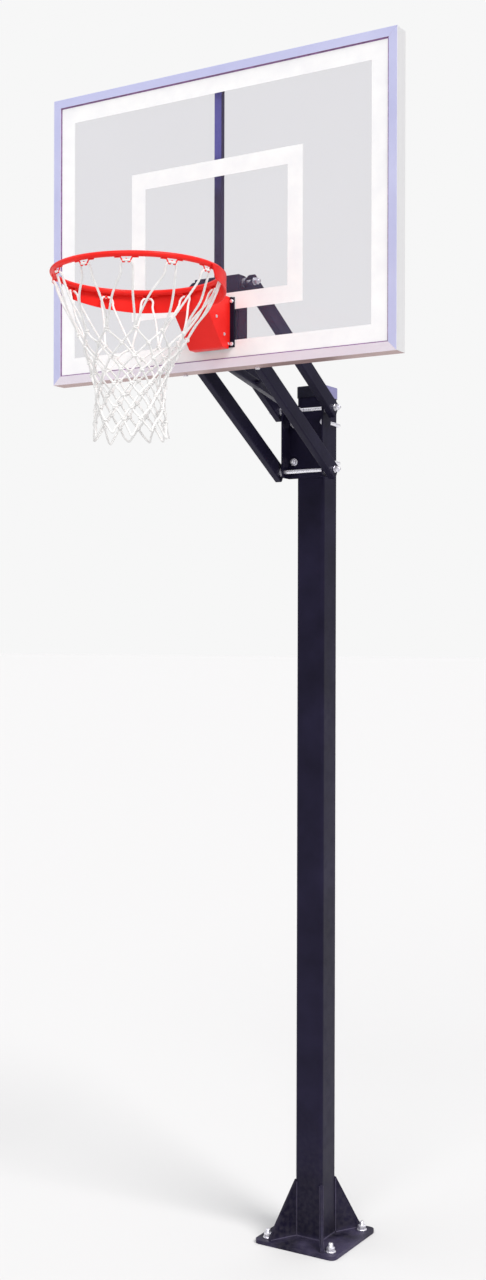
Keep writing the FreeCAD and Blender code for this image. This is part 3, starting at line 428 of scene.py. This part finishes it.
def add_piece(name, vertices, faces, look, body):
    """A smooth-shaded piece that rides on a CAD body."""
    mesh = bpy.data.meshes.new(name)
    mesh.from_pydata([tuple(v) for v in vertices], [], faces)
    mesh.update()
    mesh.materials.append(look)
    piece = bpy.data.objects.new(name, mesh)
    scene.collection.objects.link(piece)
    mesh.polygons.foreach_set("use_smooth", [True] * len(mesh.polygons))
    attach(piece, body)
    return piece


def stand_in(node):
    """Hides the CAD node that a piece replaces."""
    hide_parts(node)


def join(parts):
    """One list of vertices and faces from several."""
    vertices, faces = [], []
    for some_vertices, some_faces in parts:
        base = len(vertices)
        vertices.extend(some_vertices)
        faces.extend([tuple(i + base for i in face) for face in some_faces])
    return vertices, faces


def solids_of(node):
    """The lowest and highest corner of each separate solid in a CAD node."""
    mesh = bmesh.new()
    mesh.from_mesh(nodes[node].data)
    bmesh.ops.remove_doubles(mesh, verts=mesh.verts, dist=1e-6)
    reached = set()
    boxes = []
    for start in mesh.verts:
        if start in reached:
            continue
        reached.add(start)
        island, waiting = [start], [start]
        while waiting:
            vertex = waiting.pop()
            for link in vertex.link_edges:
                other = link.other_vert(vertex)
                if other not in reached:
                    reached.add(other)
                    island.append(other)
                    waiting.append(other)
        points = np.array([v.co for v in island])
        boxes.append((Vector(points.min(0)), Vector(points.max(0))))
    mesh.free()
    return boxes


def softened(node, width):
    """A copy of a CAD node whose sharp edges are rounded over by width, in place of the node."""
    source = nodes[node]
    mesh = bmesh.new()
    mesh.from_mesh(source.data)
    bmesh.ops.remove_doubles(mesh, verts=mesh.verts, dist=SAME_PLACE)
    bmesh.ops.dissolve_limit(mesh, angle_limit=FLAT_ANGLE, verts=mesh.verts, edges=mesh.edges)
    data = bpy.data.meshes.new(node + "_shell")
    mesh.to_mesh(data)
    mesh.free()
    data.materials.clear()
    data.materials.append(node_look(node))
    piece = bpy.data.objects.new(node + "_shell", data)
    scene.collection.objects.link(piece)
    bevel = piece.modifiers.new("edges", "BEVEL")
    bevel.width = width
    bevel.segments = 2
    bevel.limit_method = "ANGLE"
    bevel.angle_limit = EDGE_ANGLE
    bevel.use_clamp_overlap = True
    bevel.harden_normals = True
    data.polygons.foreach_set("use_smooth", [True] * len(data.polygons))
    data.set_sharp_from_angle(angle=EDGE_ANGLE)
    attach(piece, node_body[node])
    stand_in(node)


PER_SPAN = 12                           # points between two given ones on a smooth curve


def smooth_path(points, step, closed=False):
    """Points evenly spaced, about a step apart, on a smooth curve through the given ones."""
    points = [Vector(p) for p in points]
    count = len(points)
    dense = []
    spans = count if closed else count - 1
    for i in range(spans):
        if closed:
            a, b, c, d = (points[(i + k - 1) % count] for k in range(4))
        else:
            a, b = points[max(i - 1, 0)], points[i]
            c, d = points[i + 1], points[min(i + 2, count - 1)]
        for k in range(PER_SPAN):
            t = k / PER_SPAN
            dense.append(0.5 * (2 * b + (c - a) * t + (2 * a - 5 * b + 4 * c - d) * t * t
                                + (3 * b - 3 * c + d - a) * t ** 3))
    dense.append(points[0].copy() if closed else points[-1].copy())
    far = [0.0]
    for a, b in zip(dense, dense[1:]):
        far.append(far[-1] + (b - a).length)
    steps = max(2, round(far[-1] / step))
    result, k = [], 0
    for i in range(steps + 1):
        want = far[-1] * i / steps
        while k < len(far) - 2 and far[k + 1] < want:
            k += 1
        share = (want - far[k]) / max(far[k + 1] - far[k], 1e-9)
        result.append(dense[k].lerp(dense[k + 1], min(max(share, 0.0), 1.0)))
    return result[:-1] if closed else result


def quads(rings, sides, closed):
    """Faces between rings of points; closed joins the last ring to the first."""
    faces = []
    for i in range(rings if closed else rings - 1):
        j = (i + 1) % rings
        for k in range(sides):
            n = (k + 1) % sides
            faces.append((i * sides + k, i * sides + n, j * sides + n, j * sides + k))
    return faces


def end_caps(rings, sides):
    """The two faces that close a row of rings at its ends."""
    return [tuple(range(sides - 1, -1, -1)), tuple((rings - 1) * sides + k for k in range(sides))]


def tube(points, radius, sides, closed=False):
    """A tube along points; radius is a number or a function of (distance, angle)."""
    count = len(points)
    tangents = []
    for i in range(count):
        before = points[i - 1] if closed or i else points[0]
        after = points[(i + 1) % count] if closed or i < count - 1 else points[-1]
        tangents.append((after - before).normalized())
    side = tangents[0].orthogonal().normalized()
    vertices, far = [], 0.0
    for i, point in enumerate(points):
        if i:
            far += (point - points[i - 1]).length
            side = (side - tangents[i] * side.dot(tangents[i])).normalized()
        other = tangents[i].cross(side)
        for k in range(sides):
            angle = 2 * math.pi * k / sides
            size = radius(far, angle) if callable(radius) else radius
            vertices.append(point + (side * math.cos(angle) + other * math.sin(angle)) * size)
    faces = quads(count, sides, closed)
    if not closed:
        faces += end_caps(count, sides)
    return vertices, faces


def unit(axis, sign=1):
    """The unit vector along, or against, a named axis."""
    return Vector([sign if name == axis else 0 for name in "xyz"])


def spans_across(low, high, axis):
    """A box's two sizes at right angles to an axis."""
    return [(high - low)["xyz".index(name)] for name in "xyz" if name != axis]


def turned(axis):
    """Rotation that takes +Z to the axis."""
    return Vector((0, 0, 1)).rotation_difference(Vector(axis)).to_matrix()


NUT_SIDES = 48
NUT_FACE = 0.95                         # the round end face's share of the width across flats
NUT_CHAMFER = math.tan(math.radians(28))


def hex_nut(foot, axis, flats, height, bore):
    """A nut with both ends chamfered round, standing on foot along axis."""
    turn = turned(axis)
    apothem = flats / 2
    columns = []
    for k in range(NUT_SIDES):
        angle = 2 * math.pi * k / NUT_SIDES
        sector = (angle + math.pi / 6) % (math.pi / 3) - math.pi / 6
        edge = apothem / math.cos(sector)
        drop = (edge - apothem * NUT_FACE) * NUT_CHAMFER
        profile = ((bore, 0), (apothem * NUT_FACE, 0), (edge, drop),
                   (edge, height - drop), (apothem * NUT_FACE, height), (bore, height))
        columns.append([
            Vector(foot) + turn @ Vector((radius * math.cos(angle), radius * math.sin(angle), z))
            for radius, z in profile])
    vertices = [spot for ring in zip(*columns) for spot in ring]
    return vertices, quads(len(columns[0]), NUT_SIDES, closed=True)


THREAD_SIDES = 28
THREAD_STEPS = 6                        # rings in one pitch
THREAD_DEPTH = 0.13                     # half of the groove's depth, as a share of the pitch


def thread(start, axis, length, radius, pitch):
    """A screw thread with a chamfered tip, from start along axis."""
    turn = turned(axis)
    rows = max(2, round(length / pitch * THREAD_STEPS))
    vertices = []
    for i in range(rows + 1):
        z = length * i / rows
        tip = min(1.0, 0.75 + (length - z) / (pitch * 1.2) * 0.25)
        for k in range(THREAD_SIDES):
            angle = 2 * math.pi * k / THREAD_SIDES
            phase = (z / pitch - k / THREAD_SIDES) % 1.0
            depth = THREAD_DEPTH * pitch * 4 * abs(phase - 0.5)
            size = (radius - depth) * tip
            spot = Vector((size * math.cos(angle), size * math.sin(angle), z))
            vertices.append(Vector(start) + turn @ spot)
    return vertices, quads(rows + 1, THREAD_SIDES, closed=False) + end_caps(rows + 1, THREAD_SIDES)


WASHER_SIDES = 40
WASHER_ROLL = 0.32                      # radius of the rolled edge, as a share of the thickness


def dished_washer(low, high, axis, bore):
    """A pressed washer with rolled edges, in the box of its CAD solid."""
    middle = (low + high) / 2
    thick = (high - low)["xyz".index(axis)]
    outer = max(spans_across(low, high, axis)) / 2
    turn = turned(unit(axis))
    profile = []
    roll = thick * WASHER_ROLL
    for start, z in ((-90, -thick / 2 + roll), (0, thick / 2 - roll)):
        for k in range(4):
            angle = math.radians(start + 30 * k)
            profile.append((outer - roll + roll * math.cos(angle), z + roll * math.sin(angle)))
    profile += [(bore + roll / 2, thick / 2), (bore, thick / 2 - roll / 2)]
    profile += [(bore, -thick / 2 + roll / 2), (bore + roll / 2, -thick / 2)]
    rows = len(profile)
    vertices, faces = [], []
    for k in range(WASHER_SIDES):
        angle = 2 * math.pi * k / WASHER_SIDES
        for radius, z in profile:
            spot = Vector((radius * math.cos(angle), radius * math.sin(angle), z))
            vertices.append(middle + turn @ spot)
    for k in range(WASHER_SIDES):
        n = (k + 1) % WASHER_SIDES
        for i in range(rows):
            j = (i + 1) % rows
            faces.append((k * rows + i, n * rows + i, n * rows + j, k * rows + j))
    return vertices, faces


def facets(piece, angle):
    """Keeps edges sharper than an angle, in degrees, crisp on a smooth-shaded piece."""
    piece.data.set_sharp_from_angle(angle=math.radians(angle))


# ---- metalwork: edges rounded over -----------------------------------------------------------
ROUNDED = (
    (0.7, ("frame_bottom", "frame_top", "frame_left", "frame_right")),
    (1.2, ("base_plate", "base_gussets")),
    (0.7, ("pole_bracket", "board_bracket", "bracket_foot")),
    (0.4, ("lower_arm_left", "lower_arm_right", "upper_arm_left", "upper_arm_right",
           "strut_inner", "strut_outer")),
    (0.8, ("rim_side_plates", "rim_cover", "rim_top_plate", "rim_brace")),
    (1.0, ("rim_base_plate",)),
    (0.4, ("centre_stile",)),
    (1.5, ("mounting_pad",)),
)
INK_LIFT = 0.05 * MM

for width, names in ROUNDED:
    for name in names:
        softened(name, width * MM)


def lifted_print(node):
    """The ink layer of a CAD node, a hair in front of the panel so that the two faces don't coincide."""
    data = nodes[node].data.copy()
    data.name = node + "_ink"
    for vertex in data.vertices:
        vertex.co.y -= INK_LIFT
    piece = bpy.data.objects.new(node + "_ink", data)
    scene.collection.objects.link(piece)
    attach(piece, node_body[node])
    stand_in(node)


for ink in ("printed_border", "shooter_square"):
    lifted_print(ink)


# ---- nuts, washers and threads -----------------------------------------------------------------
ANCHOR_PITCH = 2.0 * MM
ROD_PITCH = 1.6 * MM
ROD_SIDES = 40
ROD_THREAD = 24 * MM                    # length of the thread at each end of a pivot rod
U_BOLT_PITCH = 1.5 * MM
U_BOLT_RADIUS = 6.25 * MM
NUT_CREASE, THREAD_CREASE = 30, 40      # degrees


def nuts(node, axis, outward, bore):
    """Chamfered nuts in the boxes of a node's solids; outward gives the side each one faces."""
    parts = []
    across = "xyz".index(axis)
    for low, high in solids_of(node):
        middle = (low + high) / 2
        facing = outward(middle)
        foot = middle.copy()
        foot[across] = low[across] if facing > 0 else high[across]
        flats = max(spans_across(low, high, axis)) * math.cos(math.pi / 6)
        parts.append(hex_nut(foot, unit(axis, facing), flats, high[across] - low[across], bore))
    piece = add_piece(node + "_chamfered", *join(parts), SLOT_LOOKS["zinc"], node_body[node])
    facets(piece, NUT_CREASE)
    stand_in(node)


def washers(node, axis, bore):
    """Pressed washers in the boxes of a node's solids."""
    parts = [dished_washer(low, high, axis, bore) for low, high in solids_of(node)]
    piece = add_piece(node + "_pressed", *join(parts), SLOT_LOOKS["zinc"], node_body[node])
    facets(piece, NUT_CREASE)
    stand_in(node)


def side_of_x(middle):
    """The side of the hoop that a place is on, for fasteners that face outwards."""
    return 1 if middle.x > 0 else -1


nuts("anchor_nuts", "z", lambda middle: 1, 8 * MM)
nuts("u_bolt_nuts", "y", lambda middle: -1, 6 * MM)
nuts("pole_rod_nuts", "x", side_of_x, 6.35 * MM)
nuts("board_rod_nuts", "x", side_of_x, 6.35 * MM)
nuts("rim_bolt_nuts", "y", lambda middle: 1, 4 * MM)
washers("anchor_washers", "z", 8.1 * MM)
washers("u_bolt_washers", "y", 6.1 * MM)
washers("pole_rod_washers", "x", 6.4 * MM)
washers("board_rod_washers", "x", 6.4 * MM)


def threaded_studs():
    """The anchor studs, threaded from end to end."""
    parts = []
    for low, high in solids_of("anchor_studs"):
        middle = (low + high) / 2
        radius = (high.x - low.x) / 2
        parts.append(thread((middle.x, middle.y, low.z), (0, 0, 1), high.z - low.z, radius, ANCHOR_PITCH))
    piece = add_piece("anchor_studs_threaded", *join(parts), SLOT_LOOKS["zinc"], "post")
    facets(piece, THREAD_CREASE)
    stand_in("anchor_studs")


def threaded_rods(node):
    """Plain ground rods, threaded at each end."""
    parts = []
    for low, high in solids_of(node):
        middle = (low + high) / 2
        radius = (high.z - low.z) / 2
        right, left = high.x - ROD_THREAD, low.x + ROD_THREAD
        shank = [Vector((x, middle.y, middle.z)) for x in np.linspace(left, right, 12)]
        parts.append(tube(shank, radius, ROD_SIDES))
        for x, side in ((right, 1), (left, -1)):
            parts.append(thread((x, middle.y, middle.z), (side, 0, 0), ROD_THREAD, radius, ROD_PITCH))
    piece = add_piece(node + "_ground", *join(parts), SLOT_LOOKS["zinc"], node_body[node])
    facets(piece, THREAD_CREASE)
    stand_in(node)


def u_bolt_threads():
    """Threads on the U-bolts' legs where they stand out of their nuts."""
    parts = []
    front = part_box("u_bolts")[0].y
    for low, high in solids_of("u_bolt_nuts"):
        middle = (low + high) / 2
        start = low.y + 1 * MM
        length = start - front + 0.4 * MM
        parts.append(thread((middle.x, start, middle.z), (0, -1, 0), length, U_BOLT_RADIUS, U_BOLT_PITCH))
    add_piece("u_bolt_threads", *join(parts), SLOT_LOOKS["zinc"], "post")


threaded_studs()
threaded_rods("pole_rods")
threaded_rods("board_rods")
u_bolt_threads()


# ---- welds ---------------------------------------------------------------------------------------
GUSSET_THICK = 9.5 * MM
POLE_CORNER = 12 * MM


def weld(points, size, seed):
    """A bead of overlapping ripples along a path; size is its radius."""
    wobble = random.Random(seed)
    phase = wobble.uniform(0, 6)
    period = size * 0.9

    def radius(far, angle):
        ripple = abs(math.sin(math.pi * far / period + phase))
        return size * (0.82 + 0.2 * ripple + 0.05 * math.sin(far * 310 + phase))

    return tube(smooth_path(points, size * 0.22), radius, 8)


def base_welds():
    """Beads round the pole's foot and along each gusset's two long edges."""
    plate_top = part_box("base_plate")[1].z
    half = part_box("pole")[1].x
    ring = []
    for sx, sy in ((1, 1), (-1, 1), (-1, -1), (1, -1)):
        start = math.degrees(math.atan2(sy, sx)) - 45
        for k in range(4):
            angle = math.radians(start + 30 * k)
            ring.append(Vector((sx * (half - POLE_CORNER) + POLE_CORNER * math.cos(angle),
                                sy * (half - POLE_CORNER) + POLE_CORNER * math.sin(angle),
                                plate_top + 1 * MM)))
    ring.append(ring[0])
    parts = [weld(ring, 3.2 * MM, 1)]
    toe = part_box("base_gussets")[1]
    for sx in (-1, 1):
        for sy in (-1, 1):
            start = Vector((sx * half, sy * half, 0))
            along = Vector((sx * (toe.x - half), sy * (toe.y - half), 0)).normalized()
            across = Vector((-along.y, along.x, 0))
            reach = (Vector((sx * toe.x, sy * toe.y, 0)) - start).length - 6 * MM
            for flank in (-1, 1):
                offset = across * flank * (GUSSET_THICK / 2 + 0.5 * MM)
                foot = start + offset - along * 2 * MM + Vector((0, 0, plate_top + 1 * MM))
                parts.append(weld([foot, foot + along * reach * 0.5, foot + along * reach], 2.8 * MM, 7))
                wall = start + offset - along * 4.5 * MM
                low = wall + Vector((0, 0, plate_top + 4 * MM))
                high = wall + Vector((0, 0, toe.z - 6 * MM))
                parts.append(weld([low, (low + high) / 2, high], 2.6 * MM, 11))
    piece = add_piece("base_weld_beads", *join(parts), WELD_HIGHLIGHT_PAINT, "post")


def rim_welds():
    """Stitch welds between ring and brace, and a bead along the top plate."""
    low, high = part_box("rim_ring")
    centre = (low + high) / 2
    inner = (high.x - low.x) / 2 + 0.2 * MM

    def arc(start, step, count, z):
        """Points round the ring at one height, from start in steps, in degrees from +X."""
        angles = [math.radians(start + step * k) for k in range(count)]
        return [Vector((centre.x + inner * math.cos(angle), centre.y + inner * math.sin(angle), z))
                for angle in angles]

    brace_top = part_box("rim_brace")[1].z + 0.6 * MM
    plate_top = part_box("rim_top_plate")[1].z - 0.5 * MM
    parts = []
    for middle in (0, 30, 60, 120, 150, 180):
        parts.append(weld(arc(min(max(middle, 8), 172) - 4, 2, 5, brace_top), 2.4 * MM, middle))
    parts.append(weld(arc(77, 3.25, 9, plate_top), 2.8 * MM, 5))
    piece = add_piece("rim_weld_beads", *join(parts), RED_PAINT, "rim")


base_welds()
rim_welds()


# ---- net -----------------------------------------------------------------------------------------
CORD = 3.3 * MM                         # radius
CORD_STEP = 1.7 * MM                    # distance between a cord's rings
BRAID_PITCH = 11 * MM
CLIPS = 12
STEP = 360 / CLIPS                      # degrees from one clip to the next
CLIP_TURN = -2.0                        # degrees that the clips are turned round the ring
NET_TWIST = -5.0                        # degrees that the knots lag behind the clips
LEAN = Vector((-17.0, -10.0, 0)) * MM   # how far the lower net hangs to one side
LEAN_TOP, LEAN_DEPTH = 3.0, 0.24        # it starts at this height and is full this much lower
RING_LOW, RING_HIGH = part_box("rim_ring")
RING_CENTRE = (RING_LOW + RING_HIGH) / 2
RING_RADIUS = (RING_HIGH.x - RING_LOW.x) / 2 - (RING_HIGH.z - RING_LOW.z) / 2
HOOK_Z = RING_CENTRE.z - 18.4 * MM      # height of the cord where it lies in a clip
STRAND_TOP = 13 * MM                    # a strand leaves its clip this far below that height
STRAND_BEND = 32 * MM                   # and bends towards its knot this far below it
# The cord over a clip: mm to the side, outwards and upwards from the hook.
HOOK_PATH = ((-13, -3.5, -3.2), (-8, -0.5, 0), (0, 4.2, -0.5), (8, -0.5, 0), (13, -3.5, -3.2))
# Height in metres and radius in mm.
NET_PROFILE = [(3.030, 233), (3.010, 229), (2.972, 216), (2.926, 190), (2.885, 164), (2.852, 146),
               (2.825, 134), (2.800, 122), (2.776, 112), (2.748, 104), (2.720, 98), (2.692, 95),
               (2.664, 97), (2.636, 99), (2.608, 101), (2.572, 107)]
KNOT_HEIGHTS = [2.862, 2.826, 2.791, 2.757, 2.723, 2.690, 2.656, 2.622]
LOOP_HEIGHT = 2.583
LOOP_RISE = 13 * MM                     # from a bottom loop's tip to its two shoulders
KNOT_WIDTH, KNOT_DEPTH = 4.4, 3.4       # mm from a knot's middle to its cord's, sideways and outwards
KNOT_LIFTS = (-2.2, 2.2)                # mm, of its two turns of cord
WRAP_POINTS = 10
chance = random.Random(20)


def net_radius(z):
    """The net's radius at a height, in metres."""
    heights = [p[0] for p in reversed(NET_PROFILE)]
    radii = [p[1] * MM for p in reversed(NET_PROFILE)]
    return float(np.interp(z, heights, radii))


def on_net(angle, z, out=0.0):
    """A point of the net's surface; the net hangs a little to one side lower down."""
    radius = net_radius(z) + out
    turn = math.radians(angle)
    shift = LEAN * min(max((LEAN_TOP - z) / LEAN_DEPTH, 0.0), 1.0)
    spot = Vector((RING_CENTRE.x + radius * math.cos(turn), RING_CENTRE.y + radius * math.sin(turn), z))
    return spot + shift


def braid(far, angle):
    """Radius of a braided cord: two sets of strands that cross each other."""
    turn = 2 * math.pi * far / BRAID_PITCH
    return CORD * (0.93 + 0.09 * max(math.cos(3 * angle - turn), math.cos(3 * angle + turn)))


def cord(points):
    return tube(smooth_path(points, CORD_STEP), braid, 10)


def wander(size):
    return Vector([chance.uniform(-size, size) for _ in range(3)])


def half_step(row):
    """Every other row of knots is shifted round by half a step."""
    return 0.5 if row % 2 == 0 else 0.0


def outwards(point):
    """The level direction from the ring's centre to a point."""
    return Vector((point.x - RING_CENTRE.x, point.y - RING_CENTRE.y, 0)).normalized()


def net_knots():
    """Rows of knots, top row first, each a little off its exact place."""
    knots = []
    for row, z in enumerate(KNOT_HEIGHTS):
        first = half_step(row)
        knots.append([on_net(STEP * (i + first) + CLIP_TURN + NET_TWIST + chance.uniform(-1.6, 1.6),
                             z + chance.uniform(-3, 3) * MM, chance.uniform(-3, 3) * MM)
                      for i in range(CLIPS)])
    return knots


def long_strands(top_row):
    """Cords from a knot up through a clip and down to the next knot, one for each clip."""
    strands = []
    for i in range(CLIPS):
        middle = STEP * i + CLIP_TURN
        leg = chance.uniform(4.3, 4.9)
        sides = []
        for sign, knot in ((-1, top_row[i - 1]), (1, top_row[i])):
            near = [on_net(middle + sign * (leg - 0.3), HOOK_Z - STRAND_TOP),
                    on_net(middle + sign * leg, HOOK_Z - STRAND_BEND)]
            bow = chance.uniform(-2.2, 2.2)
            for share in (0.35, 0.7):
                z = HOOK_Z - STRAND_BEND + (knot.z - HOOK_Z + STRAND_BEND) * share
                swing = sign * (leg + (STEP / 2 - leg) * share) + NET_TWIST * share
                angle = middle + swing + bow * math.sin(math.pi * share)
                near.append(on_net(angle, z, chance.uniform(-3, 3) * MM))
            sides.append(near + [knot])
        turn = math.radians(middle)
        out = Vector((math.cos(turn), math.sin(turn), 0))
        side = Vector((-out.y, out.x, 0))
        hook = RING_CENTRE + out * RING_RADIUS
        hook.z = HOOK_Z
        over = [hook + side * aside * MM + out * forward * MM + Vector((0, 0, rise * MM))
                for aside, forward, rise in HOOK_PATH]
        strands.append(cord(list(reversed(sides[0])) + over + sides[1]))
    return strands


def diamonds(knots):
    """Short cords from each knot to the two below it."""
    cords = []
    for row in range(len(knots) - 1):
        upper, lower = knots[row], knots[row + 1]
        for i in range(CLIPS):
            other = (i + 1) % CLIPS if row % 2 == 0 else (i - 1) % CLIPS
            for end in (lower[i], lower[other]):
                start = upper[i]
                middle = (start + end) / 2
                push = outwards(middle)
                middle += push * 1.5 * MM + wander(2.2 * MM)
                cords.append(cord([start, middle, end]))
    return cords


def bottom_loops(last_row, row):
    """Rounded loops that hang between the knots of the last row."""
    cords = []
    for i in range(CLIPS):
        angle = STEP * (i + half_step(row) + 0.5) + CLIP_TURN + NET_TWIST
        drop = LOOP_HEIGHT + chance.uniform(-10, 8) * MM
        flare = chance.uniform(-4, 12) * MM
        tip = on_net(angle + chance.uniform(-3, 3), drop, flare)
        half = chance.uniform(4.0, 7.5)
        left = on_net(angle - half, drop + LOOP_RISE, flare * 0.6)
        right = on_net(angle + half, drop + LOOP_RISE, flare * 0.6)
        cords.append(cord([last_row[i], left, tip, right, last_row[(i + 1) % CLIPS]]))
    return cords


def knot_wraps(knots):
    """Two turns of cord round each knot, a little askew."""
    wraps = []
    for point in (point for row in knots for point in row):
        away = outwards(point)
        side = Vector((-away.y, away.x, 0))
        tilt = chance.uniform(-0.5, 0.5)
        up = (Vector((0, 0, 1)) * math.cos(tilt) + side * math.sin(tilt)).normalized()
        across = up.cross(away).normalized()
        for lift in KNOT_LIFTS:
            loop = []
            for k in range(WRAP_POINTS):
                angle = 2 * math.pi * k / WRAP_POINTS
                round_it = across * math.cos(angle) * KNOT_WIDTH + away * math.sin(angle) * KNOT_DEPTH
                loop.append(point + up * (lift + 1.2 * math.sin(angle + lift)) * MM + round_it * MM)
            wraps.append(tube(smooth_path(loop, CORD_STEP, closed=True), braid, 8, closed=True))
    return wraps


def make_net():
    """The knotted net, cord by cord, in place of the CAD's plain tube."""
    knots = net_knots()
    strands = long_strands(knots[0])
    meshes = diamonds(knots) + bottom_loops(knots[-1], len(knots) - 1)
    wraps = knot_wraps(knots)
    cords = add_piece("net_long_strands", *join(strands), SLOT_LOOKS["white_cord"], "rim")
    stand_in("net")
    mesh_part = add_piece("net_diamonds", *join(meshes), SLOT_LOOKS["white_cord"], "rim")
    knot_part = add_piece("net_knots", *join(wraps), SLOT_LOOKS["white_cord"], "rim")


make_net()


# ---- finish --------------------------------------------------------------------------------------
# The CAD nodes that still show are smooth-shaded like the pieces.
for node, thing in nodes.items():
    if not thing.hide_render:
        thing.data.polygons.foreach_set("use_smooth", [True] * len(thing.data.polygons))
